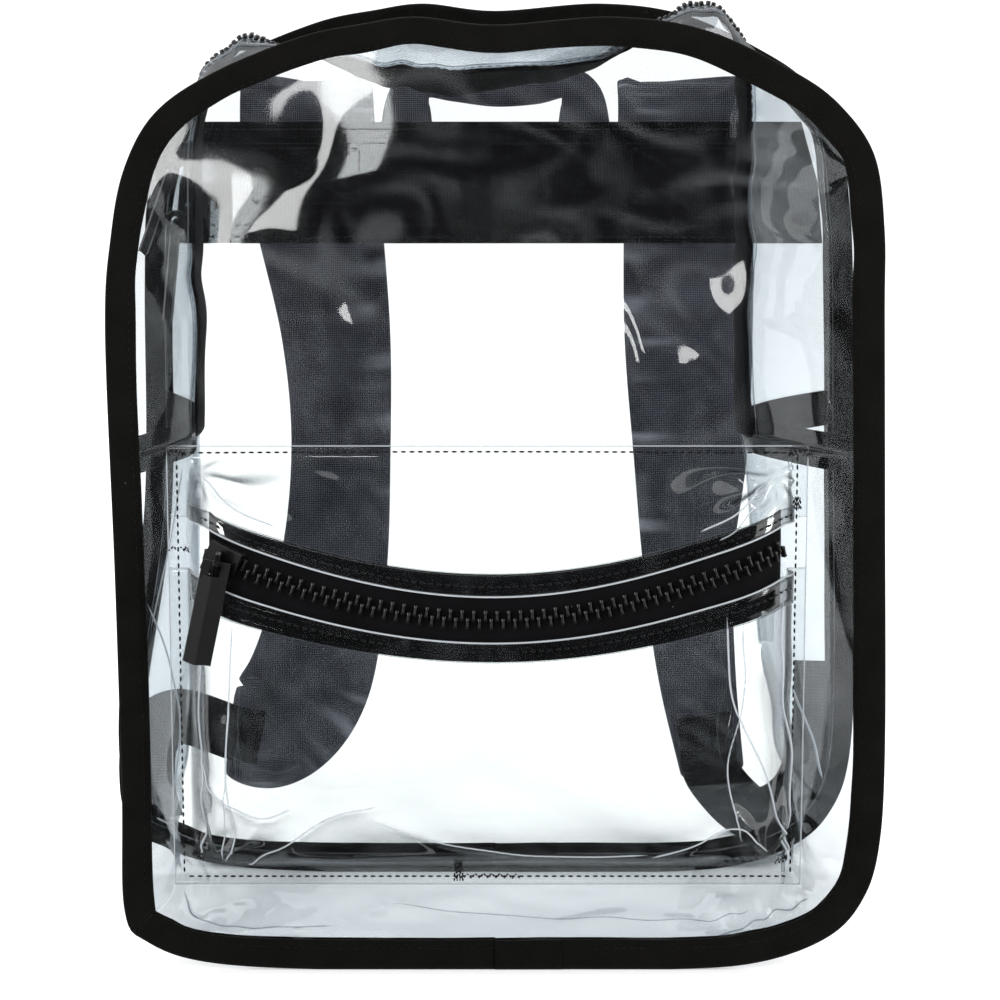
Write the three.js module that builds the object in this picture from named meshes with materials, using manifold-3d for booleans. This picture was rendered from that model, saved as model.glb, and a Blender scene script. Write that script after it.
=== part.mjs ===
// A clear stadium backpack: two clear panels joined by a clear gusset, edges bound in black tape, a zip over
// the top, a boxed zip pocket in front and padded shoulder straps behind. Millimetres, +Z up, the front faces -Y.
import * as THREE from 'three';
import { mergeVertices } from 'three/addons/utils/BufferGeometryUtils.js';
import Module from 'manifold-3d';

const wasm = await Module();
wasm.setup();

// Bag
const WIDTH = 314; // over the front binding
const HEIGHT = 383; // over the front binding
const DEPTH = 130; // between the two panels
const JOINT_HEIGHT = 211; // where the upper and lower gussets meet
const PVC = 1; // clear sheet
const FRONT_WAVE = 3; // how far the front panel waves above the pocket
const CLEARANCE = 0.3; // between pieces that touch
const SEWN_GAP = 0.45; // between curved layers that are sewn together
const ROUND_STEPS = 48; // facets round a panel and its binding
const UPPER_STEPS = 34; // facets along the gussets
const LOWER_STEPS = 26;

// Bound edge
const BINDING_WIDTH = 12;
const BINDING_TAPE = 1;
const BINDING_FOLD = 0.6; // how much the fold rounds the outer edge
const SEAM_COVER = 3; // how far the binding covers the gusset's edge
const JOINT_TAPE_WIDTH = 15;
const JOINT_TAPE_INSET = 4; // how far the tape's ends stay from the bindings

// Zips, alike on the bag and the pocket
const ZIP_TAPE_WIDTH = 34;
const ZIP_TAPE = 1;
const ZIP_SHOWN = 18; // tape seen between the clear edges
const TEETH_WIDTH = 8;
const TEETH_HEIGHT = 2.5;
const SLIDER_LENGTH = 14;
const SLIDER_WALL = 1.2;
const SLIDER_TOP = 2;
const SLIDER_CLEARANCE = 0.95; // round the chain, which bends inside it
const BAIL_RADIUS = 4.6;
const BAIL_HOLE = 2;
const BAIL_WIDTH = 2.2;
const PULL_LENGTH = 43; // from the hinge to the tip
const PULL_WIDTH = 11;
const PULL_THICKNESS = 4;
const PULL_PIN = 1.6; // the pin through the bail
const PULL_PLAY = 0.9; // beside the bail
const PULL_HEAD = 1.5; // between the pull's slot and its body
const PULL_TIP = 1.8; // how much the tip is cut back
const UPPER_SLIDER_DROP = 60; // below the bag's top
const LOWER_SLIDER_DROP = 86;
const UPPER_PULL_TILT = 20; // degrees out from the chain, where it leans on the lower slider
const LOWER_PULL_TILT = 6;
const POCKET_PULL_TILT = 12; // degrees across the pocket, as it hangs

// Front pocket
const POCKET_FROM_LEFT = 35; // the side seams, in from the bag's outer edges
const POCKET_FROM_RIGHT = 41;
const POCKET_BOTTOM = 43;
const POCKET_TOP = 211;
const POCKET_DEPTH = 29;
const POCKET_STEPS = 24; // facets across
const POCKET_SAG = 27; // how far the zip's middle hangs below its ends
const POCKET_SLIDER_INSET = 3; // the slider, in from the chain's end

// Back
const YOKE_WIDTH = 52;
const YOKE_END_GAP = 0.8; // between the yoke's ends and the binding
const YOKE_DROP = 50; // the yoke's top edge, below the bag's top
const WEBBING = 1.6;
const WEBBING_WIDTH = 25;
const STRAP_WIDTH = 57;
const STRAP_THICKNESS = 8;
const STRAP_SEWN = 4; // the strap's thickness where it is sewn down
const STRAP_SPACING = 162; // between the straps' middles at the yoke
const STRAP_REACH = 34; // how far the straps stand off the back
const WEBBING_SEWN = 22; // overlap of the webbing on the strap's end
const WEBBING_GAP = 1.1; // between them, where both curve
const HANDLE_SPAN = 76;
const HANDLE_THICKNESS = 13;
const HANDLE_RISE = 22;
const HANDLE_REACH = 24;

// Names the columns of a table.
function table(names, rows) {
  const keys = names.split(' ');
  return rows.map((row) => Object.fromEntries(keys.map((key, i) => [key, row[i]])));
}

// Rows run from the middle of the bottom, up the right, over the top and down the left. x and rearX are the
// outer edge of the front and back, as shares of half the width, and z of the height. midX and midZ are the
// gusset half way back: it bows in at the sides, stands up at the two top corners and sags between them.
const OUTLINE = table('x z rearX midX midZ', [
  [0.0, 0.0, 0.0, 0.0, 0.013],
  [0.455, 0.0, 0.455, 0.454, 0.013],
  [0.686, 0.008, 0.686, 0.666, 0.018],
  [0.857, 0.035, 0.857, 0.786, 0.04],
  [0.945, 0.075, 0.95, 0.82, 0.078],
  [0.987, 0.135, 0.997, 0.792, 0.138],
  [0.996, 0.25, 1.006, 0.732, 0.25],
  [0.982, 0.5, 0.991, 0.663, 0.5],
  [0.97, 0.7, 0.98, 0.64, 0.7],
  [0.965, 0.785, 0.965, 0.637, 0.797],
  [0.937, 0.86, 0.937, 0.638, 0.885],
  [0.853, 0.91, 0.853, 0.631, 0.955],
  [0.736, 0.945, 0.736, 0.577, 1.0],
  [0.515, 0.987, 0.515, 0.457, 0.998],
  [0.286, 1.0, 0.286, 0.277, 0.95],
  [0.0, 0.992, 0.0, 0.019, 0.927],
  [-0.191, 1.0, -0.191, -0.172, 0.925],
  [-0.324, 0.993, -0.324, -0.325, 0.935],
  [-0.477, 0.98, -0.477, -0.478, 0.955],
  [-0.688, 0.945, -0.688, -0.64, 0.967],
  [-0.834, 0.905, -0.834, -0.741, 0.935],
  [-0.913, 0.85, -0.913, -0.771, 0.866],
  [-0.951, 0.78, -0.951, -0.775, 0.782],
  [-0.971, 0.68, -0.962, -0.775, 0.682],
  [-0.961, 0.43, -0.976, -0.779, 0.43],
  [-0.956, 0.2, -1.059, -0.829, 0.2],
  [-0.956, 0.065, -1.036, -0.865, 0.072],
  [-0.897, 0.03, -0.938, -0.826, 0.038],
  [-0.747, 0.008, -0.767, -0.716, 0.018],
  [-0.455, 0.0, -0.455, -0.454, 0.013],
]);

const RIGHT_SHOULDER = 12; // the rows where the middle of the gusset stops climbing each side
const LEFT_SHOULDER = 20;

// The pocket across: x from the left seam to the right one, as shares, and how much of the depth it has.
const POCKET_ACROSS = table('share x depth', [
  [0.0, -0.03, 0.0],
  [0.03, 0.0, 0.0],
  [0.08, 0.02, 0.42],
  [0.13, 0.055, 0.88],
  [0.2, 0.13, 1.0],
  [0.5, 0.5, 0.97],
  [0.78, 0.84, 1.0],
  [0.86, 0.94, 0.9],
  [0.92, 1.0, 0.42],
  [0.97, 1.0, 0.0],
  [1.0, 1.03, 0.0],
]);

// The pocket up: z from the bottom seam to the top one, its depth and its share of the sag.
const POCKET_UP = table('share z depth sag', [
  [0.0, -0.04, 0.0, 0.0],
  [0.03, 0.0, 0.0, 0.0],
  [0.1, 0.06, 0.55, 0.0],
  [0.18, 0.15, 0.92, 0.0],
  [0.35, 0.35, 1.0, 0.1],
  [0.55, 0.6, 1.0, 0.6],
  [0.7, 0.81, 0.97, 1.0],
  [0.8, 0.895, 0.8, 0.9],
  [0.9, 0.955, 0.38, 0.4],
  [0.97, 1.0, 0.0, 0.0],
  [1.0, 1.03, 0.0, 0.0],
]);
const POCKET_ZIP_AT = 0.7; // share up of the zip's middle
const POCKET_ZIP_FROM = 0.115; // shares across of the tape's ends
const POCKET_ZIP_TO = 0.9;

// Straps from the sewn end, up over the roll and down to the webbing. drift is how far the strap's middle lies
// away from the bag's middle, as a share of its width, out the distance from the back as a share of the reach,
// z a share of the height of the yoke's top edge, and wide the width that shows.
const STRAP_RIGHT = table('drift out z wide', [
  [0.0, 0.0, 0.887, 1.0],
  [0.0, 0.02, 0.967, 1.0],
  [0.0, 0.12, 1.028, 1.0],
  [0.0, 0.42, 1.044, 1.0],
  [0.02, 0.64, 1.006, 1.0],
  [0.06, 0.78, 0.897, 1.0],
  [0.08, 0.95, 0.713, 1.0],
  [0.107, 1.0, 0.552, 0.9],
  [0.097, 0.96, 0.403, 0.72],
  [0.168, 0.8, 0.253, 0.62],
  [0.298, 0.56, 0.115, 0.5],
]);
const STRAP_LEFT = table('drift out z wide', [
  [0.0, 0.0, 0.887, 1.0],
  [0.0, 0.02, 0.967, 1.0],
  [0.0, 0.12, 1.028, 1.0],
  [0.0, 0.42, 1.044, 1.0],
  [0.0, 0.64, 1.006, 1.0],
  [-0.037, 0.78, 0.897, 1.0],
  [-0.179, 0.95, 0.713, 0.85],
  [-0.209, 1.0, 0.552, 0.78],
  [-0.14, 0.96, 0.391, 0.85],
  [0.05, 0.88, 0.242, 0.98],
  [0.354, 0.72, 0.173, 0.95],
  [0.66, 0.52, 0.178, 0.7],
]);

// The lower webbing from the strap's end to the back's bound edge: x as a share of half the width.
const WEBBING_RIGHT = table('x out z', [
  [0.74, 0.3, 0.06],
  [0.86, 0.18, 0.09],
  [0.915, 0.06, 0.17],
  [0.92, 0.0, 0.25],
]);
const WEBBING_LEFT = table('x out z', [
  [0.9, 0.2, 0.18],
  [0.975, 0.06, 0.155],
  [0.985, 0.0, 0.1],
  [0.965, 0.0, 0.06],
]);

// The haul handle from its left sewn end to its right one: x as a share of half the span, out of the reach and
// up of the rise over the yoke's top edge, and the section as shares of the grip's thickness.
const HANDLE = table('x out up wide thick', [
  [-1.0, 0.0, -0.7, 1.7, 0.22],
  [-1.0, 0.02, -0.1, 1.7, 0.22],
  [-0.97, 0.3, 0.45, 1.4, 0.4],
  [-0.8, 0.7, 0.7, 1.05, 0.8],
  [-0.45, 0.95, 0.6, 1.0, 1.0],
  [0.0, 1.0, 0.5, 1.0, 1.0],
  [0.45, 0.95, 0.55, 1.0, 1.0],
  [0.8, 0.7, 0.7, 1.05, 0.8],
  [0.97, 0.3, 0.45, 1.4, 0.4],
  [1.0, 0.02, -0.1, 1.7, 0.22],
  [1.0, 0.0, -0.7, 1.7, 0.22],
]);

const CLEAR = { color: 0xe9eef0, roughness: 0.08, metalness: 0, transparent: true, opacity: 0.35 };
const BLACK_TAPE = { color: 0x161514, roughness: 0.85, metalness: 0 };
const BLACK_PLASTIC = { color: 0x1c1c1d, roughness: 0.45, metalness: 0 };
const SLIDER_METAL = { color: 0x2a2a2b, roughness: 0.35, metalness: 0.8 };
const STRAP_CLOTH = { color: 0x2b2b30, roughness: 0.9, metalness: 0 };

const bag = new THREE.Group();

function add(name, geometry, look, frame = new THREE.Matrix4()) {
  const mesh = new THREE.Mesh(geometry, new THREE.MeshStandardMaterial(look));
  mesh.name = name;
  mesh.applyMatrix4(frame);
  bag.add(mesh);
}

// Smooth function through one column of a table, over another column.
function through(rows, over, column) {
  const slope = (i) => {
    const a = rows[Math.max(i - 1, 0)];
    const b = rows[Math.min(i + 1, rows.length - 1)];
    return (b[column] - a[column]) / (b[over] - a[over]);
  };
  return (at) => {
    let i = rows.findIndex((row) => row[over] > at) - 1;
    if (i < 0) i = at <= rows[0][over] ? 0 : rows.length - 2;
    const span = rows[i + 1][over] - rows[i][over];
    const k = THREE.MathUtils.clamp((at - rows[i][over]) / span, 0, 1);
    const past = at - rows[i][over] - k * span;
    const h = 3 * k * k - 2 * k * k * k;
    const value = rows[i][column] * (1 - h) + rows[i + 1][column] * h
      + span * slope(i) * k * (1 - k) ** 2 - span * slope(i + 1) * k * k * (1 - k);
    return value + past * slope(past < 0 ? i : i + 1);
  };
}

function signedVolume(geometry) {
  const at = geometry.attributes.position;
  const index = geometry.index;
  const corner = (i) => new THREE.Vector3().fromBufferAttribute(at, index.getX(i));
  let sum = 0;
  for (let i = 0; i < index.count; i += 3) {
    sum += corner(i).dot(corner(i + 1).cross(corner(i + 2)));
  }
  return sum;
}

// Moves each corner of a unit body and keeps its faces pointing out.
function bend(geometry, place) {
  const at = geometry.attributes.position;
  for (let i = 0; i < at.count; i += 1) {
    const p = place(at.getX(i), at.getY(i), at.getZ(i));
    at.setXYZ(i, p.x, p.y, p.z);
  }
  if (signedVolume(geometry) < 0) {
    const index = geometry.index.array;
    for (let i = 0; i < index.length; i += 3) {
      [index[i], index[i + 1]] = [index[i + 1], index[i]];
    }
  }
  geometry.computeVertexNormals();
  return geometry;
}

const STEP = 1e-3;

function slopes(surface, u, v) {
  return {
    alongU: surface(u + STEP, v).sub(surface(u - STEP, v)).divideScalar(2 * STEP),
    alongV: surface(u, v + STEP).sub(surface(u, v - STEP)).divideScalar(2 * STEP),
  };
}

function normalAt(surface, u, v) {
  const { alongU, alongV } = slopes(surface, u, v);
  return alongU.cross(alongV).normalize();
}

// A wall of even thickness on a surface, cut where the lists of shares say. lift moves it off the surface along
// its normal. Walls that lie on each other share their cuts, so that their faces stay parallel.
function sheet(surface, us, vs, thickness, lift) {
  const box = new THREE.BoxGeometry(1, 1, 1, us.length - 1, vs.length - 1, 1);
  return bend(box, (x, y, z) => {
    const u = us[Math.round((x + 0.5) * (us.length - 1))];
    const v = vs[Math.round((y + 0.5) * (vs.length - 1))];
    return surface(u, v).addScaledVector(normalAt(surface, u, v), lift + z * thickness);
  });
}

function evenly(from, to, count) {
  return Array.from({ length: count + 1 }, (_, i) => THREE.MathUtils.lerp(from, to, i / count));
}

function solidOf(geometry) {
  const bare = geometry.clone();
  bare.deleteAttribute('normal');
  bare.deleteAttribute('uv');
  const merged = mergeVertices(bare, 1e-4);
  return new wasm.Manifold(new wasm.Mesh({
    numProp: 3,
    vertProperties: new Float32Array(merged.attributes.position.array),
    triVerts: new Uint32Array(merged.index.array),
  }));
}

function joined(first, ...others) {
  const mesh = others.reduce((sum, g) => sum.add(solidOf(g)), solidOf(first)).getMesh();
  const geometry = new THREE.BufferGeometry();
  geometry.setAttribute('position', new THREE.BufferAttribute(mesh.vertProperties, 3));
  geometry.setIndex(new THREE.BufferAttribute(mesh.triVerts, 1));
  geometry.computeVertexNormals();
  return geometry;
}

// Bag form

const FRONT_Y = -DEPTH / 2;
const BACK_Y = DEPTH / 2;
const SLOT_HALF = PVC / 2 + CLEARANCE;
const BINDING_HALF = SLOT_HALF + BINDING_TAPE;

function loopThrough(x, z) {
  const points = OUTLINE.map((row) => new THREE.Vector3(row[x] * WIDTH / 2, 0, row[z] * HEIGHT));
  return new THREE.CatmullRomCurve3(points, true, 'catmullrom', 0.5);
}

const frontLoop = loopThrough('x', 'z');
const backLoop = loopThrough('rearX', 'z');
const middleLoop = loopThrough('midX', 'midZ');
const wrapped = (s) => s - Math.floor(s);

// A point of a bound edge, moved in from the outer edge. The floor flattens the lowest stretch.
function edge(loop, s, inset, y) {
  const p = loop.getPoint(wrapped(s));
  const t = loop.getTangent(wrapped(s));
  p.z = Math.max(p.z, 0);
  return new THREE.Vector3(p.x - t.z * inset, y, p.z + t.x * inset);
}

const GUSSET_FRONT_Y = FRONT_Y + BINDING_HALF + CLEARANCE;
const GUSSET_BACK_Y = BACK_Y - BINDING_HALF - CLEARANCE;

function gusset(s, t) {
  const start = edge(frontLoop, s, BINDING_WIDTH - SEAM_COVER, GUSSET_FRONT_Y);
  const end = edge(backLoop, s, BINDING_WIDTH - SEAM_COVER, GUSSET_BACK_Y);
  const halfway = start.clone().lerp(end, 0.5);
  const middle = middleLoop.getPoint(wrapped(s)).setY(halfway.y);
  return start.lerp(end, t).addScaledVector(middle.sub(halfway), Math.sin(Math.PI * t));
}

// The share of the way round at which a path reaches a height, on the right side or the left.
function roundAt(path, height, side) {
  let low = side > 0 ? 0 : 1;
  let high = (side > 0 ? RIGHT_SHOULDER : LEFT_SHOULDER) / OUTLINE.length;
  for (let i = 0; i < 40; i += 1) {
    const half = (low + high) / 2;
    if (path(half).z < height) low = half;
    else high = half;
  }
  return low;
}

const gussetMiddle = (s) => gusset(s, 0.5);

function roundPlus(s, distance) {
  return s + distance / slopes(gusset, s, 0.5).alongU.length();
}

// Panels

const panelMiddle = new THREE.Vector3(0, 0, HEIGHT / 2);

// The clear front is loose above the pocket, and waves a little there.
function frontWave(x, z) {
  const across = x / (WIDTH / 2);
  const up = (z - POCKET_TOP - 2 * BINDING_WIDTH) / (HEIGHT - POCKET_TOP - 4 * BINDING_WIDTH);
  if (up < 0 || up > 1) return 0;
  return FRONT_WAVE * Math.sin(Math.PI * up) ** 2 * Math.sin(3 * across + 1);
}

const heldFrom = 1 - 2 * BINDING_WIDTH / WIDTH; // the binding holds a panel flat from this radius out

function panel(loop, y, radii, wave) {
  const profile = [
    ...radii.map((r) => new THREE.Vector2(r, -0.5)),
    ...[...radii].reverse().map((r) => new THREE.Vector2(r, 0.5)),
  ];
  return bend(new THREE.LatheGeometry(profile, ROUND_STEPS), (a, h, b) => {
    const round = wrapped(Math.atan2(a, b) / (2 * Math.PI));
    const p = edge(loop, round, BINDING_TAPE + CLEARANCE, 0).sub(panelMiddle);
    const radius = Math.hypot(a, b);
    p.multiplyScalar(radius).add(panelMiddle);
    const free = Math.max(0, 1 - (radius / heldFrom) ** 4);
    return p.setY(y + free * wave(p.x, p.z) + h * PVC);
  });
}

function binding(loop, y) {
  const away = 10; // keeps the turned profile off its axis
  const section = [
    [0, BINDING_HALF - BINDING_FOLD],
    [BINDING_FOLD, BINDING_HALF],
    [BINDING_WIDTH, BINDING_HALF],
    [BINDING_WIDTH, SLOT_HALF],
    [BINDING_TAPE, SLOT_HALF],
    [BINDING_TAPE, -SLOT_HALF],
    [BINDING_WIDTH, -SLOT_HALF],
    [BINDING_WIDTH, -BINDING_HALF],
    [BINDING_FOLD, -BINDING_HALF],
    [0, BINDING_FOLD - BINDING_HALF],
    [0, BINDING_HALF - BINDING_FOLD],
  ];
  const profile = section.map(([inset, side]) => new THREE.Vector2(away + inset, side));
  return bend(new THREE.LatheGeometry(profile, ROUND_STEPS), (a, h, b) => {
    const round = wrapped(Math.atan2(a, b) / (2 * Math.PI));
    const inset = Math.hypot(a, b) - away;
    return edge(loop, round, inset, y + h);
  });
}

add('front_panel', panel(frontLoop, FRONT_Y, [0, 0.5, heldFrom, 1], frontWave), CLEAR);
add('back_panel', panel(backLoop, BACK_Y, [0, 1], () => 0), CLEAR);
add('front_binding', binding(frontLoop, FRONT_Y), BLACK_TAPE);
add('back_binding', binding(backLoop, BACK_Y), BLACK_TAPE);

// Gusset and main zip

const jointRight = roundAt(gussetMiddle, JOINT_HEIGHT, 1);
const jointLeft = roundAt(gussetMiddle, JOINT_HEIGHT, -1);
const jointHalf = JOINT_TAPE_WIDTH / 2;
const underLift = -(PVC / 2 + SEWN_GAP + ZIP_TAPE / 2);
const teethLift = underLift + ZIP_TAPE / 2 + CLEARANCE + TEETH_HEIGHT / 2;
const overLift = PVC / 2 + SEWN_GAP + BINDING_TAPE / 2;

// The gusset's normal points out of the bag when it is taken from back to front.
const bagSide = (s, t) => gusset(s, 1 - t);

// A strip of the gusset. Its cut edges stay clear of the two bindings.
function strip(us, vs, thickness, lift) {
  return bend(sheet(bagSide, us, vs, thickness, lift), (x, y, z) => (
    new THREE.Vector3(x, THREE.MathUtils.clamp(y, GUSSET_FRONT_Y, GUSSET_BACK_Y), z)
  ));
}

const tapeHalf = ZIP_TAPE_WIDTH / 2 / DEPTH;
const shownHalf = ZIP_SHOWN / 2 / DEPTH;
const teethHalf = TEETH_WIDTH / 2 / DEPTH;
const rearCuts = [...evenly(0, 0.5 - tapeHalf, 3), 0.5 - shownHalf];
const frontCuts = rearCuts.map((t) => 1 - t).reverse();
const teethCuts = [0.5 - teethHalf, 0.5 + teethHalf];
const tapeCuts = [0.5 - tapeHalf, 0.5 - shownHalf, ...teethCuts, 0.5 + shownHalf, 0.5 + tapeHalf];
const wholeCuts = [...evenly(0, 0.5 - tapeHalf, 3), 0.5, ...evenly(0.5 + tapeHalf, 1, 3)];
const jointCuts = [JOINT_TAPE_INSET / DEPTH, ...wholeCuts.slice(1, -1), 1 - JOINT_TAPE_INSET / DEPTH];

const zipRound = evenly(roundPlus(jointRight, jointHalf), roundPlus(jointLeft, -jointHalf), UPPER_STEPS);
const upperRound = [roundPlus(jointRight, CLEARANCE), ...zipRound, roundPlus(jointLeft, -CLEARANCE)];
const teethRound = [
  roundPlus(zipRound[0], CLEARANCE),
  ...zipRound.slice(1, -1),
  roundPlus(zipRound.at(-1), -CLEARANCE),
];
const lowerRound = [
  jointLeft,
  ...evenly(roundPlus(jointLeft, jointHalf), roundPlus(1 + jointRight, -jointHalf), LOWER_STEPS),
  1 + jointRight,
];

add('upper_gusset_front', strip(upperRound, frontCuts, PVC, 0), CLEAR);
add('upper_gusset_rear', strip(upperRound, rearCuts, PVC, 0), CLEAR);
add('bottom_gusset', strip(lowerRound, wholeCuts, PVC, 0), CLEAR);
add('main_zip_tape', strip(upperRound, tapeCuts, ZIP_TAPE, underLift), BLACK_TAPE);
add('main_zip_teeth', strip(teethRound, teethCuts, TEETH_HEIGHT, teethLift), BLACK_PLASTIC);
for (const [name, joint] of [['right', jointRight], ['left', jointLeft]]) {
  const round = [roundPlus(joint, -jointHalf), joint, roundPlus(joint, jointHalf)];
  add(`joint_tape_${name}`, strip(round, jointCuts, BINDING_TAPE, overLift), BLACK_TAPE);
}

// Sliders and pulls

const sliderFloor = teethLift + TEETH_HEIGHT / 2 + SLIDER_CLEARANCE;
const sliderRoof = sliderFloor + SLIDER_TOP;
const hingeLift = sliderRoof + BAIL_RADIUS - SLIDER_TOP / 4;

function ringShape(radius, hole, sides) {
  const ring = (r) => Array.from({ length: sides }, (_, i) => {
    const angle = 2 * Math.PI * (i + 0.5) / sides;
    return new THREE.Vector2(r * Math.cos(angle), r * Math.sin(angle));
  });
  const shape = new THREE.Shape(ring(radius));
  shape.holes.push(new THREE.Path(ring(hole)));
  return shape;
}

// A slider in its own frame: x along the chain, z out of the zip. The bail is a ring round the hinge's axis.
function slider(axis) {
  const inner = TEETH_WIDTH / 2 + SLIDER_CLEARANCE;
  const outer = inner + SLIDER_WALL;
  const foot = teethLift;
  const channel = new THREE.Shape([
    [-outer, foot], [-outer, sliderRoof], [outer, sliderRoof], [outer, foot],
    [inner, foot], [inner, sliderFloor], [-inner, sliderFloor], [-inner, foot],
  ].map(([x, y]) => new THREE.Vector2(x, y)));
  const body = new THREE.ExtrudeGeometry(channel, { depth: SLIDER_LENGTH, bevelEnabled: false });
  body.translate(0, 0, -SLIDER_LENGTH / 2).rotateX(Math.PI / 2).rotateZ(Math.PI / 2);
  const bail = new THREE.ExtrudeGeometry(ringShape(BAIL_RADIUS, BAIL_HOLE, 12), {
    depth: BAIL_WIDTH,
    bevelEnabled: false,
  });
  bail.translate(0, 0, -BAIL_WIDTH / 2);
  bail.applyQuaternion(new THREE.Quaternion().setFromUnitVectors(new THREE.Vector3(0, 0, 1), axis));
  bail.translate(0, 0, hingeLift);
  return joined(body, bail);
}

// A pull's own frame: the hinge runs along x, the pull hangs down -z and its ridge faces -y.
function pull() {
  const half = PULL_WIDTH / 2;
  const slotEnd = BAIL_RADIUS + 2 * CLEARANCE;
  const headEnd = slotEnd + PULL_HEAD;
  const slotHalf = BAIL_WIDTH / 2 + PULL_PLAY;
  const head = new THREE.Shape([
    [-half, -headEnd], [half, -headEnd], [half, PULL_PIN / 2], [-half, PULL_PIN / 2],
  ].map(([x, y]) => new THREE.Vector2(x, y)));
  head.holes.push(new THREE.Path([
    [-slotHalf, -slotEnd], [-slotHalf, -PULL_PIN / 2], [slotHalf, -PULL_PIN / 2], [slotHalf, -slotEnd],
  ].map(([x, y]) => new THREE.Vector2(x, y))));
  const eye = new THREE.ExtrudeGeometry(head, { depth: PULL_PIN, bevelEnabled: false });
  eye.translate(0, 0, -PULL_PIN / 2).rotateX(Math.PI / 2);
  const back = PULL_THICKNESS / 2;
  const facets = new THREE.Shape([
    [-half, back], [-half, -0.2 * back], [-0.1 * half, -back], [half, -0.4 * back], [half, back],
  ].map(([x, y]) => new THREE.Vector2(x, y)));
  const bar = new THREE.ExtrudeGeometry(facets, { depth: PULL_LENGTH - slotEnd, bevelEnabled: false });
  bar.translate(0, 0, -PULL_LENGTH);
  const cutBar = bend(mergeVertices(bar), (x, y, z) => {
    const atTip = z < -PULL_LENGTH / 2 ? 1 : 0;
    return new THREE.Vector3(x, y, z + atTip * PULL_TIP * (Math.abs(x) / half + (back - y) / PULL_THICKNESS));
  });
  return joined(eye, cutBar);
}

// The frame of a slider on a straight stretch of zip between two shares: x along it, z out of it.
function zipFrame(surface, from, to, v) {
  const start = surface(from, v);
  const end = surface(to, v);
  const x = end.clone().sub(start).normalize();
  const z = normalAt(surface, from, v).add(normalAt(surface, to, v));
  z.addScaledVector(x, -z.dot(x)).normalize();
  const frame = new THREE.Matrix4().makeBasis(x, z.clone().cross(x), z);
  return frame.setPosition(start.lerp(end, 0.5));
}

// The frame of a pull, from its hinge, the hinge's direction and the way it hangs.
function pullFrame(hinge, axis, down) {
  const z = down.clone().negate().normalize();
  const x = axis.clone().normalize();
  return new THREE.Matrix4().makeBasis(x, z.clone().cross(x), z).setPosition(hinge);
}

// A slider with its pull hanging down from it on the given axis.
function addSlider(sliderName, pullName, frame, axis, down) {
  const turn = new THREE.Quaternion().setFromRotationMatrix(frame).invert();
  add(sliderName, slider(axis.clone().applyQuaternion(turn)), SLIDER_METAL, frame);
  const hinge = new THREE.Vector3(0, 0, hingeLift).applyMatrix4(frame);
  add(pullName, pull(), BLACK_PLASTIC, pullFrame(hinge, axis, down));
}

for (const [name, drop, tilt] of [
  ['1', UPPER_SLIDER_DROP, UPPER_PULL_TILT],
  ['2', LOWER_SLIDER_DROP, LOWER_PULL_TILT],
]) {
  const at = roundAt(gussetMiddle, HEIGHT - drop, -1);
  const reach = SLIDER_LENGTH / 2;
  const frame = zipFrame(bagSide, roundPlus(at, -reach), roundPlus(at, reach), 0.5);
  const angle = THREE.MathUtils.degToRad(tilt);
  const down = new THREE.Vector3(-Math.sin(angle), 0, -Math.cos(angle));
  addSlider(`main_slider_${name}`, `main_pull_${name}`, frame, new THREE.Vector3(0, -1, 0), down);
}

// Pocket

const POCKET_LEFT = POCKET_FROM_LEFT - WIDTH / 2;
const POCKET_RIGHT = WIDTH / 2 - POCKET_FROM_RIGHT;
const acrossX = through(POCKET_ACROSS, 'share', 'x');
const acrossDepth = through(POCKET_ACROSS, 'share', 'depth');
const upZ = through(POCKET_UP, 'share', 'z');
const upDepth = through(POCKET_UP, 'share', 'depth');
const upSag = through(POCKET_UP, 'share', 'sag');

function pocket(u, v) {
  const x = THREE.MathUtils.lerp(POCKET_LEFT, POCKET_RIGHT, acrossX(u));
  const alongZip = THREE.MathUtils.inverseLerp(POCKET_ZIP_FROM, POCKET_ZIP_TO, u);
  const hang = POCKET_SAG * upSag(v) * Math.sin(Math.PI * THREE.MathUtils.clamp(alongZip, 0, 1));
  const z = THREE.MathUtils.lerp(POCKET_BOTTOM, POCKET_TOP, upZ(v)) - hang;
  const depth = POCKET_DEPTH * Math.max(0, acrossDepth(u)) * Math.max(0, upDepth(v));
  return new THREE.Vector3(x, FRONT_Y - PVC - CLEARANCE - depth, z);
}

function upPlus(v, distance) {
  return v + distance / slopes(pocket, 0.5, v).alongV.length();
}

function acrossPlus(u, distance) {
  return u + distance / slopes(pocket, u, POCKET_ZIP_AT).alongU.length();
}

const sliderFrom = acrossPlus(POCKET_ZIP_FROM, POCKET_SLIDER_INSET);
const sliderTo = acrossPlus(sliderFrom, SLIDER_LENGTH);
const chainAcross = [POCKET_ZIP_FROM, sliderFrom, ...evenly(sliderTo, POCKET_ZIP_TO, POCKET_STEPS - 6)];
const pocketAcross = [0, 0.03, 0.08, ...chainAcross, 0.95, 0.97, 1];
const [teethLow, teethHigh] = [-1, 1].map((way) => upPlus(POCKET_ZIP_AT, way * TEETH_WIDTH / 2));
const [shownLow, shownHigh] = [-1, 1].map((way) => upPlus(POCKET_ZIP_AT, way * ZIP_SHOWN / 2));
const [tapeLow, tapeHigh] = [-1, 1].map((way) => upPlus(POCKET_ZIP_AT, way * ZIP_TAPE_WIDTH / 2));
const faceUp = [0, 0.03, 0.065, 0.1, 0.14, 0.18, 0.26, 0.35, 0.45, tapeLow, shownLow];
const topUp = [shownHigh, tapeHigh, 0.9, 0.94, 0.97, 1];

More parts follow.
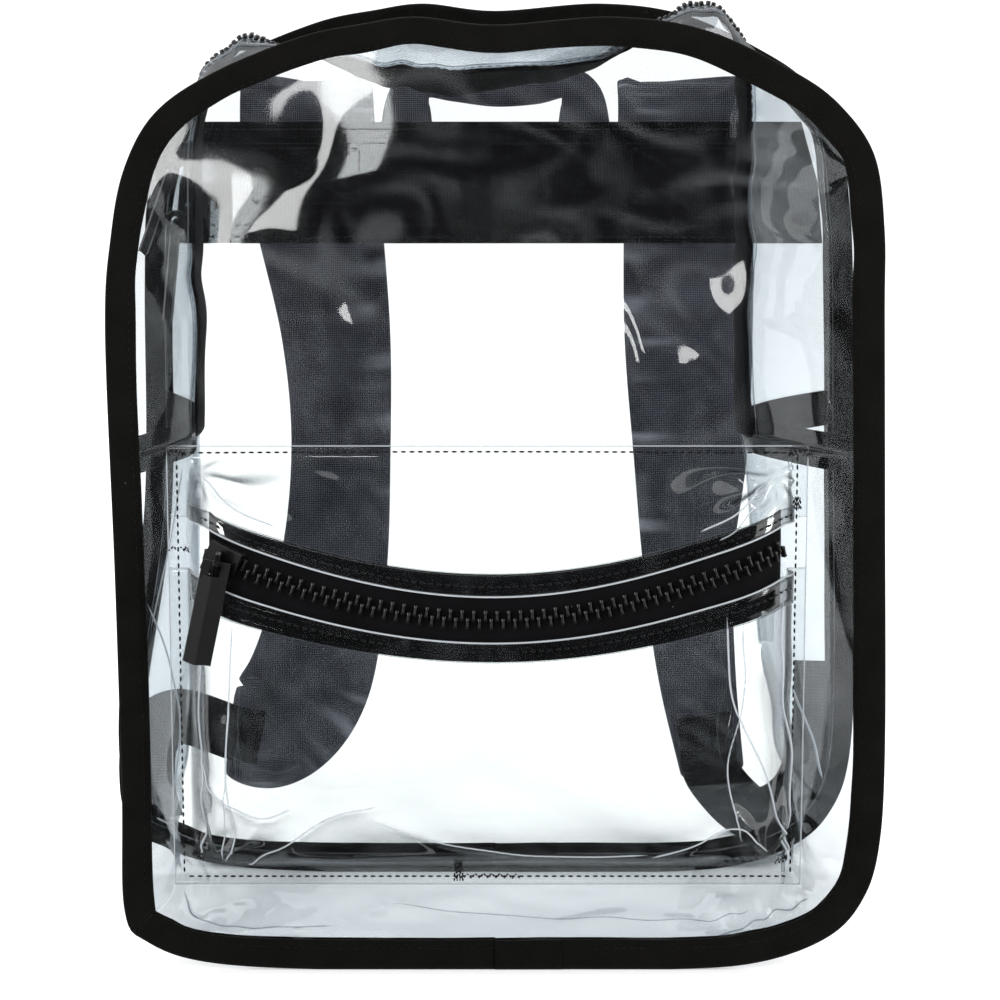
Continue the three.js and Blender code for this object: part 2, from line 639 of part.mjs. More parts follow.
add('pocket_face', sheet(pocket, pocketAcross, faceUp, PVC, 0), CLEAR);
add('pocket_top', sheet(pocket, pocketAcross, topUp, PVC, 0), CLEAR);
add('pocket_zip_tape', sheet(
  pocket, chainAcross, [tapeLow, shownLow, teethLow, teethHigh, shownHigh, tapeHigh], ZIP_TAPE, underLift,
), BLACK_TAPE);
add('pocket_zip_teeth', sheet(
  pocket, chainAcross, [teethLow, teethHigh], TEETH_HEIGHT, teethLift,
), BLACK_PLASTIC);

const pocketFrame = zipFrame(pocket, sliderFrom, sliderTo, POCKET_ZIP_AT);
const pocketPullAngle = THREE.MathUtils.degToRad(POCKET_PULL_TILT);
addSlider(
  'pocket_slider', 'pocket_pull', pocketFrame,
  new THREE.Vector3(Math.cos(pocketPullAngle), 0, -Math.sin(pocketPullAngle)),
  new THREE.Vector3(-Math.sin(pocketPullAngle), 0, -Math.cos(pocketPullAngle)),
);

// Back: yoke band, handle, straps and webbing

const BACK_FACE = BACK_Y + PVC / 2 + CLEARANCE;
const yokeLift = BACK_FACE + WEBBING / 2;

const YOKE_TOP = HEIGHT - YOKE_DROP;
const insideBinding = (s) => edge(backLoop, s, BINDING_WIDTH + YOKE_END_GAP, 0);

function yoke(u, v) {
  const z = YOKE_TOP - (1 - v) * YOKE_WIDTH;
  const [left, right] = [-1, 1].map((side) => insideBinding(roundAt(insideBinding, z, side)).x);
  return new THREE.Vector3(THREE.MathUtils.lerp(left, right, u), yokeLift, z);
}

add('yoke_band', sheet(yoke, evenly(0, 1, 6), evenly(0, 1, 4), WEBBING, 0), BLACK_TAPE);

// Lays a unit box or cylinder along a path. across gives its broad direction from the path's own.
function band(geometry, path, across, wide, thick) {
  return bend(geometry, (x, y, z) => {
    const share = y + 0.5;
    const p = path.getPoint(share);
    const t = path.getTangent(share);
    const side = across(t, share);
    side.addScaledVector(t, -side.dot(t)).normalize();
    const out = side.clone().cross(t).normalize();
    return p.addScaledVector(side, x * wide(share)).addScaledVector(out, z * thick(share));
  });
}

const YOKE_FACE = BACK_FACE + WEBBING + CLEARANCE;
const SEAM_FACE = BACK_Y + BINDING_HALF + CLEARANCE;
const strapMiddle = STRAP_SPACING / 2;

function pathOf(rows, place) {
  return new THREE.CatmullRomCurve3(rows.map(place), false, 'catmullrom', 0.5);
}

const flatOnBack = (t) => t.clone().cross(new THREE.Vector3(0, 1, 0));

// A strap is level across where it rolls over the yoke, and lies flat to the back further down.
const strapAcross = (t, share) => (
  new THREE.Vector3(1, 0, 0).lerp(flatOnBack(t), THREE.MathUtils.smoothstep(share, 0.45, 0.65))
);

function columnOf(rows, column) {
  return through(rows.map((row, i) => ({ share: i / (rows.length - 1), value: row[column] })), 'share', 'value');
}

for (const [name, side, strapRows, webbingRows] of [
  ['right', 1, STRAP_RIGHT, WEBBING_RIGHT],
  ['left', -1, STRAP_LEFT, WEBBING_LEFT],
]) {
  const strapPath = pathOf(strapRows, (row) => new THREE.Vector3(
    side * (strapMiddle + row.drift * STRAP_WIDTH),
    YOKE_FACE + STRAP_SEWN / 2 + row.out * STRAP_REACH,
    row.z * YOKE_TOP,
  ));
  const wide = columnOf(strapRows, 'wide');
  const row = 1 / (strapRows.length - 1);
  const thick = (s) => THREE.MathUtils.lerp(
    STRAP_SEWN, STRAP_THICKNESS, THREE.MathUtils.smoothstep(s, row, 4 * row),
  );
  add(`shoulder_strap_${name}`, band(
    new THREE.BoxGeometry(1, 1, 1, 3, 26, 1), strapPath, strapAcross, (s) => STRAP_WIDTH * wide(s), thick,
  ), STRAP_CLOTH);

  // The webbing is sewn to the strap's end, on the side of the bag, and runs to the bound edge.
  const onStrap = (share) => {
    const down = strapPath.getTangent(share);
    const out = flatOnBack(down).cross(down).normalize();
    return strapPath.getPoint(share).addScaledVector(out, -(STRAP_THICKNESS + WEBBING) / 2 - WEBBING_GAP);
  };
  const sewn = WEBBING_SEWN / strapPath.getLength();
  const webbingPath = new THREE.CatmullRomCurve3([
    onStrap(1 - sewn),
    onStrap(1 - sewn / 2),
    onStrap(1),
    ...webbingRows.map((row) => new THREE.Vector3(
      side * row.x * WIDTH / 2,
      SEAM_FACE + WEBBING / 2 + row.out * STRAP_REACH,
      row.z * HEIGHT,
    )),
  ], false, 'catmullrom', 0.5);
  add(`strap_webbing_${name}`, band(
    new THREE.BoxGeometry(1, 1, 1, 1, 20, 1), webbingPath, flatOnBack, () => WEBBING_WIDTH, () => WEBBING,
  ), BLACK_TAPE);
}

// The handle's ends are flat on the yoke, and its grip is rolled.
const handlePath = pathOf(HANDLE, (row) => new THREE.Vector3(
  row.x * HANDLE_SPAN / 2,
  YOKE_FACE + HANDLE[0].thick * HANDLE_THICKNESS / 2 + row.out * HANDLE_REACH,
  YOKE_TOP + row.up * HANDLE_RISE,
));
const handleWide = columnOf(HANDLE, 'wide');
const handleThick = columnOf(HANDLE, 'thick');
add('haul_handle', band(
  new THREE.CylinderGeometry(0.5, 0.5, 1, 10, 26), handlePath, flatOnBack,
  (s) => handleWide(s) * HANDLE_THICKNESS, (s) => handleThick(s) * HANDLE_THICKNESS,
), STRAP_CLOTH);

// The origin is on the ground, under the middle of the whole.
bag.updateMatrixWorld(true);
const box = new THREE.Box3().setFromObject(bag, true);
bag.position.set(-(box.min.x + box.max.x) / 2, -(box.min.y + box.max.y) / 2, -box.min.z);

export default bag;
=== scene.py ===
import math

import bmesh
import bpy
import numpy as np
from mathutils import Matrix, Vector


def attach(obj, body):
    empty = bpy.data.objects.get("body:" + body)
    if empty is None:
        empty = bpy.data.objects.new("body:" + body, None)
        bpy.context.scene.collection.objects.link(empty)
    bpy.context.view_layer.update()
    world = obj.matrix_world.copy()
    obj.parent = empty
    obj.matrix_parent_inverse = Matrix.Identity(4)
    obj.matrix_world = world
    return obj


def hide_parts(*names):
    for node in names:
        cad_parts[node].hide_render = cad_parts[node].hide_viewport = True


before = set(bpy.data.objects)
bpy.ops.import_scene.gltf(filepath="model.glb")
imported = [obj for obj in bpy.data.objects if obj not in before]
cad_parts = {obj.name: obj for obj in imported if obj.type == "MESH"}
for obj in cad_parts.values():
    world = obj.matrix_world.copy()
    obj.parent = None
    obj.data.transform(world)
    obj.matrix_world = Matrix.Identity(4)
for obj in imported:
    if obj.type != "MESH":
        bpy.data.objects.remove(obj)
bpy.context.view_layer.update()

scene = bpy.context.scene

# Sizes of the bag in millimetres, before it is moved over the middle of its frame.
CENTRE_X = 4.671
CENTRE_Y = -1.255
WIDTH = 314
HEIGHT = 383
DEPTH = 130
JOINT_HEIGHT = 211
PVC = 1.0
WALL = 0.5  # the clear sheet as it is shown
ZIP_TILT = 7
CLEARANCE = 0.3
SEWN_GAP = 0.45
FRONT_WAVE = 3
BINDING_WIDTH = 12
BINDING_TAPE = 1
SEAM_COVER = 3
JOINT_TAPE_WIDTH = 15
JOINT_TAPE_INSET = 4
ZIP_TAPE_WIDTH = 34
ZIP_TAPE = 1
ZIP_SHOWN = 18
TEETH_HEIGHT = 2.5
TOOTH_PITCH = 4.6  # between teeth on one side of the chain
STITCH_PITCH = 3.6
POCKET_FROM_LEFT = 35
POCKET_FROM_RIGHT = 41
POCKET_BOTTOM = 43
POCKET_TOP = 211
POCKET_DEPTH = 29
POCKET_SAG = 27
YOKE_WIDTH = 52
YOKE_DROP = 50
YOKE_END_GAP = 0.8
WEBBING = 1.6
WEBBING_WIDTH = 25
WEBBING_SEWN = 22
WEBBING_GAP = 1.1
STRAP_WIDTH = 57
STRAP_THICKNESS = 8
STRAP_SEWN = 4
STRAP_SPACING = 162
STRAP_REACH = 34
HANDLE_SPAN = 76
HANDLE_THICKNESS = 13
HANDLE_RISE = 22
HANDLE_REACH = 24

FRONT_Y = -DEPTH / 2
BACK_Y = DEPTH / 2
SLOT_HALF = PVC / 2 + CLEARANCE
BINDING_HALF = SLOT_HALF + BINDING_TAPE
GUSSET_FRONT_Y = FRONT_Y + BINDING_HALF + CLEARANCE
GUSSET_BACK_Y = BACK_Y - BINDING_HALF - CLEARANCE
BACK_FACE = BACK_Y + PVC / 2 + CLEARANCE
YOKE_TOP = HEIGHT - YOKE_DROP
YOKE_FACE = BACK_FACE + WEBBING + CLEARANCE
SEAM_FACE = BACK_Y + BINDING_HALF + CLEARANCE
POCKET_LEFT = POCKET_FROM_LEFT - WIDTH / 2
POCKET_RIGHT = WIDTH / 2 - POCKET_FROM_RIGHT

# The outer edge from the middle of the bottom, up the right, over the top and down the left: x and z of
# the front edge, x of the back edge, then x and z of the gusset half way back. Shares of half the width
# and of the height.
OUTLINE = np.array([
    [0, 0, 0, 0, 0.013], [0.455, 0, 0.455, 0.454, 0.013], [0.686, 0.008, 0.686, 0.666, 0.018],
    [0.857, 0.035, 0.857, 0.786, 0.04], [0.945, 0.075, 0.95, 0.82, 0.078],
    [0.987, 0.135, 0.997, 0.792, 0.138], [0.996, 0.25, 1.006, 0.732, 0.25],
    [0.982, 0.5, 0.991, 0.663, 0.5], [0.97, 0.7, 0.98, 0.64, 0.7], [0.965, 0.785, 0.965, 0.637, 0.797],
    [0.937, 0.86, 0.937, 0.638, 0.885], [0.853, 0.91, 0.853, 0.631, 0.955],
    [0.736, 0.945, 0.736, 0.577, 1], [0.515, 0.987, 0.515, 0.457, 0.998],
    [0.286, 1, 0.286, 0.277, 0.95], [0, 0.992, 0, 0.019, 0.927], [-0.191, 1, -0.191, -0.172, 0.925],
    [-0.324, 0.993, -0.324, -0.325, 0.935], [-0.477, 0.98, -0.477, -0.478, 0.955],
    [-0.688, 0.945, -0.688, -0.64, 0.967], [-0.834, 0.905, -0.834, -0.741, 0.935],
    [-0.913, 0.85, -0.913, -0.771, 0.866], [-0.951, 0.78, -0.951, -0.775, 0.782],
    [-0.971, 0.68, -0.962, -0.775, 0.682], [-0.961, 0.43, -0.976, -0.779, 0.43],
    [-0.956, 0.2, -1.059, -0.829, 0.2], [-0.956, 0.065, -1.036, -0.865, 0.072],
    [-0.897, 0.03, -0.938, -0.826, 0.038], [-0.747, 0.008, -0.767, -0.716, 0.018],
    [-0.455, 0, -0.455, -0.454, 0.013],
])

# The pocket across: share, x, depth; and up: share, z, depth, sag.
POCKET_ACROSS = np.array([
    [0, -0.03, 0], [0.03, 0, 0], [0.08, 0.02, 0.42], [0.13, 0.055, 0.88], [0.2, 0.13, 1],
    [0.5, 0.5, 0.97], [0.78, 0.84, 1], [0.86, 0.94, 0.9], [0.92, 1, 0.42], [0.97, 1, 0], [1, 1.03, 0],
])
POCKET_UP = np.array([
    [0, -0.04, 0, 0], [0.03, 0, 0, 0], [0.1, 0.06, 0.55, 0], [0.18, 0.15, 0.92, 0],
    [0.35, 0.35, 1, 0.1], [0.55, 0.6, 1, 0.6], [0.7, 0.81, 0.97, 1], [0.8, 0.895, 0.8, 0.9],
    [0.9, 0.955, 0.38, 0.4], [0.97, 1, 0, 0], [1, 1.03, 0, 0],
])
POCKET_ZIP_AT = 0.7
POCKET_ZIP_FROM = 0.115
POCKET_ZIP_TO = 0.9

# Straps from the sewn end to the webbing: drift, out, z, wide. Webbing: x, out, z.
# Handle: x, out, up, wide, thick.
STRAP_RIGHT = np.array([
    [0, 0, 0.887, 1], [0, 0.02, 0.967, 1], [0, 0.12, 1.028, 1], [0, 0.42, 1.044, 1],
    [0.02, 0.64, 1.006, 1], [0.06, 0.78, 0.897, 1], [0.08, 0.95, 0.713, 1], [0.107, 1, 0.552, 0.9],
    [0.097, 0.96, 0.403, 0.72], [0.168, 0.8, 0.253, 0.62], [0.298, 0.56, 0.115, 0.5],
])
STRAP_LEFT = np.array([
    [0, 0, 0.887, 1], [0, 0.02, 0.967, 1], [0, 0.12, 1.028, 1], [0, 0.42, 1.044, 1],
    [0, 0.64, 1.006, 1], [-0.037, 0.78, 0.897, 1], [-0.179, 0.95, 0.713, 0.85],
    [-0.209, 1, 0.552, 0.78], [-0.14, 0.96, 0.391, 0.85], [0.05, 0.88, 0.242, 0.98],
    [0.354, 0.72, 0.173, 0.95], [0.66, 0.52, 0.178, 0.7],
])
WEBBING_RIGHT = np.array([
    [0.74, 0.3, 0.06], [0.86, 0.18, 0.09], [0.915, 0.06, 0.17], [0.92, 0, 0.25],
])
WEBBING_LEFT = np.array([
    [0.9, 0.2, 0.18], [0.975, 0.06, 0.155], [0.985, 0, 0.1], [0.965, 0, 0.06],
])
HANDLE = np.array([
    [-1, 0, -0.7, 1.7, 0.22], [-1, 0.02, -0.1, 1.7, 0.22], [-0.97, 0.3, 0.45, 1.4, 0.4],
    [-0.8, 0.7, 0.7, 1.05, 0.8], [-0.45, 0.95, 0.6, 1, 1], [0, 1, 0.5, 1, 1], [0.45, 0.95, 0.55, 1, 1],
    [0.8, 0.7, 0.7, 1.05, 0.8], [0.97, 0.3, 0.45, 1.4, 0.4], [1, 0.02, -0.1, 1.7, 0.22],
    [1, 0, -0.7, 1.7, 0.22],
])

# Curves and surfaces, in millimetres


def through(rows, over, column):
    """A smooth function through one column of a table, over another."""
    xs, ys = rows[:, over], rows[:, column]
    last = len(xs) - 1
    before, after = np.maximum(np.arange(last + 1) - 1, 0), np.minimum(np.arange(last + 1) + 1, last)
    slope = (ys[after] - ys[before]) / (xs[after] - xs[before])

    def at(x):
        x = np.asarray(x, float)
        i = np.clip(np.searchsorted(xs, x, "right") - 1, 0, last - 1)
        span = xs[i + 1] - xs[i]
        k = np.clip((x - xs[i]) / span, 0, 1)
        past = x - xs[i] - k * span
        h = 3 * k**2 - 2 * k**3
        value = ys[i] * (1 - h) + ys[i + 1] * h
        value = value + span * (slope[i] * k * (1 - k) ** 2 - slope[i + 1] * k**2 * (1 - k))
        return value + past * np.where(past < 0, slope[i], slope[i + 1])

    return at


def curve(points, closed=False):
    """A Catmull-Rom curve through points, taken by its share from 0 to 1."""
    points = np.array(points, float)
    if not closed:
        ends = 2 * points[0] - points[1], 2 * points[-1] - points[-2]
        padded = np.vstack([ends[0], points, ends[1]])
    count = len(points) if closed else len(points) - 1

    def at(s):
        s = np.asarray(s, float)
        s = s % 1.0 if closed else np.clip(s, 0, 1)
        i = np.minimum(np.floor(s * count).astype(int), count - 1)
        k = (s * count - i)[..., None]
        if closed:
            p0, p1, p2, p3 = (points[(i + step) % count] for step in (-1, 0, 1, 2))
        else:
            p0, p1, p2, p3 = (padded[i + step] for step in (0, 1, 2, 3))
        t0, t1 = (p2 - p0) / 2, (p3 - p1) / 2
        return p1 + t0 * k + (3 * (p2 - p1) - 2 * t0 - t1) * k**2 + (2 * (p1 - p2) + t0 + t1) * k**3

    return at


def tangent(path, s, step=1e-4):
    way = path(s + step) - path(s - step)
    return way / np.linalg.norm(way, axis=-1, keepdims=True)


def normal(surface, u, v, step=1e-3):
    along = surface(u + step, v) - surface(u - step, v)
    across = surface(u, v + step) - surface(u, v - step)
    n = np.cross(along, across)
    return n / np.maximum(np.linalg.norm(n, axis=-1, keepdims=True), 1e-9)


def stack(x, y, z):
    return np.stack(np.broadcast_arrays(x, y, z), axis=-1).astype(float)


def smooth(x, low, high):
    k = np.clip((x - low) / (high - low), 0, 1)
    return k * k * (3 - 2 * k)


def patch(x, middle, half, edge=4):
    """1 round a middle, dying away past its half width. A higher edge dies away more sharply."""
    return np.exp(-(((x - middle) / half) ** edge))


def length_along(points):
    """The length gone by each point of a line of points."""
    steps = np.linalg.norm(np.diff(points, axis=0), axis=1)
    return np.concatenate([[0], np.cumsum(steps)])


def even(path, start, end, count):
    """Shares from start to end that lie at even lengths along a path."""
    fine = np.linspace(start, end, 1500)
    gone = length_along(path(fine))
    return np.interp(np.linspace(0, gone[-1], count + 1), gone, fine)


def ripples(seed, wavelength, count=7, spread=0.5):
    """Soft uneven waves over two lengths in millimetres, about -1 to 1."""
    rng = np.random.RandomState(seed)
    angle = rng.uniform(0, 2 * math.pi, count)
    length = wavelength * np.exp(rng.uniform(-spread, spread, count))
    phase = rng.uniform(0, 2 * math.pi, count)
    kx, ky = 2 * math.pi * np.cos(angle) / length, 2 * math.pi * np.sin(angle) / length

    def at(a, b):
        a, b = np.asarray(a, float)[..., None], np.asarray(b, float)[..., None]
        warp = 0.15 * wavelength * np.sin((a * 0.7 + b) * 2 * math.pi / (wavelength * 2.3) + phase[0])
        return np.sin((a + warp) * kx + (b - warp) * ky + phase).sum(-1) / math.sqrt(count)

    return at


def loop_of(x, z):
    flat = stack(OUTLINE[:, x] * WIDTH / 2, 0, OUTLINE[:, z] * HEIGHT)
    return curve(flat, closed=True)


front_loop, back_loop, middle_loop = loop_of(0, 1), loop_of(2, 1), loop_of(3, 4)


def edge(loop, s, inset, y):
    """A point of a bound edge, moved in from the outer edge. The floor flattens the lowest stretch."""
    p, t = loop(s), tangent(loop, s)
    z = np.maximum(p[..., 2], 0)
    return stack(p[..., 0] - t[..., 2] * inset, y, z + t[..., 0] * inset)


def gusset(s, t):
    start = edge(front_loop, s, BINDING_WIDTH - SEAM_COVER, GUSSET_FRONT_Y)
    end = edge(back_loop, s, BINDING_WIDTH - SEAM_COVER, GUSSET_BACK_Y)
    middle = middle_loop(s)
    middle[..., 1] = (GUSSET_FRONT_Y + GUSSET_BACK_Y) / 2
    t = np.asarray(t, float)[..., None]
    return start + (end - start) * t + (middle - (start + end) / 2) * np.sin(math.pi * t)


def round_at(path, height, side):
    """The share of the way round at which a path reaches a height, on the right side or the left."""
    low, high = (0.0, 12 / 30) if side > 0 else (1.0, 20 / 30)
    for _ in range(40):
        half = (low + high) / 2
        if path(half)[..., 2] < height:
            low = half
        else:
            high = half
    return low


def share_per_mm(path, s, step=1e-3):
    return 2 * step / np.linalg.norm(path(s + step) - path(s - step))


def gusset_middle(s):
    return gusset(s, 0.5)


def round_plus(s, distance):
    return s + distance * share_per_mm(gusset_middle, s)


joint_right = round_at(gusset_middle, JOINT_HEIGHT, 1)
joint_left = round_at(gusset_middle, JOINT_HEIGHT, -1)

# A share of the way round or across counts as this many millimetres in the waves of the sheet and tape.
WAVES_ROUND = 1350
CREASES_ROUND = 900
TAPE_ROUND = 1300
WAVES_ACROSS = 60

side_ripples = ripples(5, 46)
side_creases = ripples(9, 17, spread=0.3)


def bag_side(s, t):
    """The clear gusset from back (0) to front (1), with the soft creases of unlined sheet."""
    s, t = np.broadcast_arrays(np.asarray(s, float), np.asarray(t, float))
    p = gusset(s, 1 - t)
    free = np.sin(math.pi * np.clip(t, 0, 1)) ** 1.5
    n = normal(lambda a, b: gusset(a, 1 - b), s, t)
    crumpled = 0.28 + 0.75 * patch(p[..., 2], 45, 45, 2)
    away = side_ripples(s * WAVES_ROUND, t * WAVES_ACROSS) * 1.1
    away = away + side_creases(s * CREASES_ROUND, t * WAVES_ACROSS) * crumpled
    beside_sliders = patch(p[..., 2], 310, 34) * (p[..., 0] < 0) * patch(t, 0.5, 0.28)
    free = free * (1 - beside_sliders)
    # Over the middle of the top the zip hangs tilted, its front edge high and its back edge low.
    p[..., 2] -= ZIP_TILT * patch(s, 0.535, 0.06) * np.sin(2 * math.pi * (0.5 - np.clip(t, 0, 1)))
    return p + n * (free * away)[..., None]


across_x, across_depth = through(POCKET_ACROSS, 0, 1), through(POCKET_ACROSS, 0, 2)
up_z, up_depth, up_sag = (through(POCKET_UP, 0, column) for column in (1, 2, 3))


def pocket(u, v):
    u, v = np.broadcast_arrays(np.asarray(u, float), np.asarray(v, float))
    x = POCKET_LEFT + (POCKET_RIGHT - POCKET_LEFT) * across_x(u)
    along_zip = np.clip((u - POCKET_ZIP_FROM) / (POCKET_ZIP_TO - POCKET_ZIP_FROM), 0, 1)
    hang = POCKET_SAG * up_sag(v) * np.sin(math.pi * along_zip)
    z = POCKET_BOTTOM + (POCKET_TOP - POCKET_BOTTOM) * up_z(v) - hang
    depth = POCKET_DEPTH * np.maximum(across_depth(u), 0) * np.maximum(up_depth(v), 0)
    return stack(x, FRONT_Y - PVC - CLEARANCE - depth, z)


def lifted(surface, lift):
    return lambda u, v: surface(u, v) + normal(surface, u, v) * lift


# Meshes


def to_frame(points):
    return (points + np.array([CENTRE_X, CENTRE_Y, 0])) / 1000


def piece(name, mesh, material, body="bag", replaces=()):
    """A piece that rides on a body, takes the slot of its material and stands for CAD nodes."""
    made = bpy.data.objects.new(name, mesh)
    scene.collection.objects.link(made)
    mesh.materials.append(material)
    mesh.polygons.foreach_set("use_smooth", [True] * len(mesh.polygons))
    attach(made, body)
    if replaces:
        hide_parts(*replaces)
    return made


def mesh_of(bm, name):
    mesh = bpy.data.meshes.new(name)
    bm.to_mesh(mesh)
    bm.free()
    return mesh


def points_of(mesh):
    at = np.zeros(len(mesh.vertices) * 3)
    mesh.vertices.foreach_get("co", at)
    return at.reshape(-1, 3)


def mark(mesh, name, values):
    """Lays a value on each point of a mesh, for its material to read."""
    mesh.attributes.new(name, "FLOAT", "POINT").data.foreach_set("value", values.astype(np.float32))


def surface_mesh(name, us, vs, place, wrap=(False, False)):
    """A grid laid on place(u, v), with a UV map of real lengths. wrap closes it along u or v."""
    us, vs = np.asarray(us, float), np.asarray(vs, float)
    bm = bmesh.new()
    bmesh.ops.create_grid(bm, x_segments=len(us) - 1, y_segments=len(vs) - 1, size=0.5)
    mesh = mesh_of(bm, name)
    at = points_of(mesh)
    column = np.rint((at[:, 0] + 0.5) * (len(us) - 1)).astype(int)
    row = np.rint((at[:, 1] + 0.5) * (len(vs) - 1)).astype(int)
    mesh.vertices.foreach_set("co", to_frame(place(us[column], vs[row])).ravel())
    along = length_along(place(us, np.full(len(us), vs[len(vs) // 2])))
    across = length_along(place(np.full(len(vs), us[len(us) // 2]), vs))
    corner = np.zeros(len(mesh.loops), int)
    mesh.loops.foreach_get("vertex_index", corner)
    flat = np.stack([along[column[corner]], across[row[corner]]], axis=-1) / 1000
    mesh.uv_layers.new(name="cloth").data.foreach_set("uv", flat.ravel())
    if wrap[0] or wrap[1]:
        bm = bmesh.new()
        bm.from_mesh(mesh)
        bmesh.ops.remove_doubles(bm, verts=bm.verts, dist=1e-6)
        open_edges = [e for e in bm.edges if e.is_boundary]
        if open_edges:
            bmesh.ops.holes_fill(bm, edges=open_edges, sides=0)
        bmesh.ops.recalc_face_normals(bm, faces=bm.faces)
        bm.to_mesh(mesh)
        bm.free()
    mesh.update()
    return mesh


def laid(name, us, vs, place, material, replaces=(), wall=0, wrap=(False, False)):
    """A piece laid on place(u, v). A wall thickens a single sheet, and wrap closes the grid along u or v."""
    made = piece(name, surface_mesh(name, us, vs, place, wrap), material, replaces=replaces)
    if wall:
        thick = made.modifiers.new("wall", "SOLIDIFY")
        thick.thickness = wall / 1000
        thick.offset = 0
    return made


def clear_sheet(name, us, vs, place, material, seed, replaces=()):
    """Clear sheet with its wall, its cut edge and its scuffs: swirling smears, closer than its waves."""
    made = laid(name, us, vs, place, material, replaces, WALL)
    x, y, z = points_of(made.data).T * 1000
    swirl = ripples(seed, 60)(x + y, z)
    streaks = np.sin(ripples(seed + 1, 70)(x + y, z) * 5 + swirl * 3)
    smears = smooth(swirl * 0.4 + streaks * 0.5, 0.1, 1.1)
    specks = smooth(ripples(seed + 2, 9)(x + y, z), 0.6, 2)
    mark(made.data, "scuffs", smears + 0.3 * specks)
    made.visible_shadow = False
    made.data.materials.append(CUT_PVC)
    made.modifiers["wall"].material_offset_rim = 1
    return made


def spread(start, end, count):
    return np.linspace(start, end, count + 1)


# Materials


def linear(colour):
    """An sRGB hex colour as linear red, green, blue and alpha."""
    parts = [int(colour[i : i + 2], 16) / 255 for i in (1, 3, 5)]
    return tuple(p / 12.92 if p <= 0.04045 else ((p + 0.055) / 1.055) ** 2.4 for p in parts) + (1.0,)


def add(tree, kind, inputs=None, out=0, **settings):
    """A node with its settings, its values and its links. Gives the output that the next node takes."""
    made = tree.nodes.new("ShaderNode" + kind)
    for name, value in settings.items():
        setattr(made, name, value)
    for name, value in (inputs or {}).items():
        if isinstance(value, bpy.types.NodeSocket):
            tree.links.new(value, made.inputs[name])
        else:
            made.inputs[name].default_value = value
    return made.outputs[out] if made.outputs else None


def maths(tree, operation, *values):
    return add(tree, "Math", dict(enumerate(values)), operation=operation)


def new_material(name, slot):
    material = bpy.data.materials.new(name)
    material.use_nodes = True
    material.node_tree.nodes.clear()
    material["slot"] = slot
    return material, material.node_tree


def clear_pvc(name, tint, edge_on_shade, haze, least=0.001, silver=0.5):
    """Soft vinyl sheet: it shows what is behind it, mirrors the lamps where it waves, turns silver at a
    low angle and carries a thin uneven haze of scuffs. Seen at a slant it lets through a greyer tint, a
    painted shade that greys its creases and sides. Its waves are in the mesh, its scuffs marked on it."""
    material, tree = new_material(name, "clear_pvc")
    facing = add(tree, "LayerWeight", {"Blend": 0.5}, "Facing")
    mirror = maths(tree, "MULTIPLY_ADD", maths(tree, "POWER", facing, 5.0), silver, 0.045)
    scuffs = add(tree, "Attribute", out="Fac", attribute_name="scuffs")
    veil = maths(tree, "MULTIPLY_ADD", scuffs, haze, least)
    # Painted shade: the more edge-on the sheet is seen, the greyer the tint it lets through.
    slant_shade = maths(tree, "POWER", facing, 1.5)
    colour = add(tree, "MixRGB", {0: slant_shade, 1: linear(tint), 2: linear(edge_on_shade)})
    glass = add(tree, "BsdfTransparent", {"Color": colour})
    gloss = add(tree, "BsdfPrincipled", {"Base Color": linear("#ffffff"), "Metallic": 1, "Roughness": 0.03})
    milk = add(tree, "BsdfPrincipled", {"Base Color": linear("#dfe4ea"), "Roughness": 0.4})
    sheet = add(tree, "MixShader", {0: mirror, 1: glass, 2: gloss})
    add(tree, "OutputMaterial", {"Surface": add(tree, "MixShader", {0: veil, 1: sheet, 2: milk})})
    return material


def woven(name, slot, dark, light, rib_mm, thread_mm, relief_mm, turn=0.0, flat=True, crest_highlight=None):
    """Yarns laid over each other: ribs along the cloth, finer threads across them, and a little lint.
    The last colour, if given, paints a highlight on the crests of the creases that a mesh marks."""
    material, tree = new_material(name, slot)
    where = add(tree, "TexCoord", out="UV" if flat else "Object")
    angle = (0, 0, turn) if flat else (math.pi / 2, 0, turn)
    where = add(tree, "Mapping", {"Vector": where, "Rotation": angle})
    every_mm = 2 * math.pi / 20 * 1000  # the scale at which this texture repeats each millimetre
    ribs = add(tree, "TexWave", {
        "Vector": where, "Scale": every_mm / rib_mm, "Distortion": 0.6, "Detail": 1.0,
    }, "Fac")
    threads = add(tree, "TexWave", {
        "Vector": where, "Scale": every_mm / thread_mm, "Distortion": 0.8, "Detail": 1.0,
    }, "Fac", bands_direction="Y")
    weave = maths(tree, "MULTIPLY", ribs, threads)
    wear = add(tree, "TexNoise", {"Vector": where, "Scale": 1000 / 14, "Detail": 3.0})
    cloth = add(tree, "ValToRGB", {"Fac": maths(tree, "MULTIPLY", weave, wear)})
    shades = cloth.node.color_ramp.elements
    shades[0].color, shades[1].color = linear(dark), linear(light)
    shades[1].position = 0.55
    specks = add(tree, "TexVoronoi", {"Vector": where, "Scale": 1000 / 7, "Randomness": 1.0}, "Distance")
    near = maths(tree, "LESS_THAN", specks, 0.035)
    chance = add(tree, "SeparateColor", {"Color": specks.node.outputs["Color"]})
    few = maths(tree, "GREATER_THAN", chance, 0.8)
    lint = maths(tree, "MULTIPLY", near, few)
    colour = add(tree, "MixRGB", {0: lint, 1: cloth, 2: linear("#55554f")})
    if crest_highlight:
        # Painted highlight on the crests that the mesh marks.
        creases = add(tree, "Attribute", out="Fac", attribute_name="creases")
        colour = add(tree, "MixRGB", {0: creases, 1: colour, 2: linear(crest_highlight)})
    relief = add(tree, "Bump", {"Height": weave, "Strength": 1.0, "Distance": relief_mm / 1000})
    surface = add(tree, "BsdfPrincipled", {
        "Base Color": colour, "Roughness": 0.85, "Normal": relief, "Specular IOR Level": 0.06,
        "Sheen Weight": 0.04, "Sheen Roughness": 0.4,
    })
    add(tree, "OutputMaterial", {"Surface": surface})
    return material


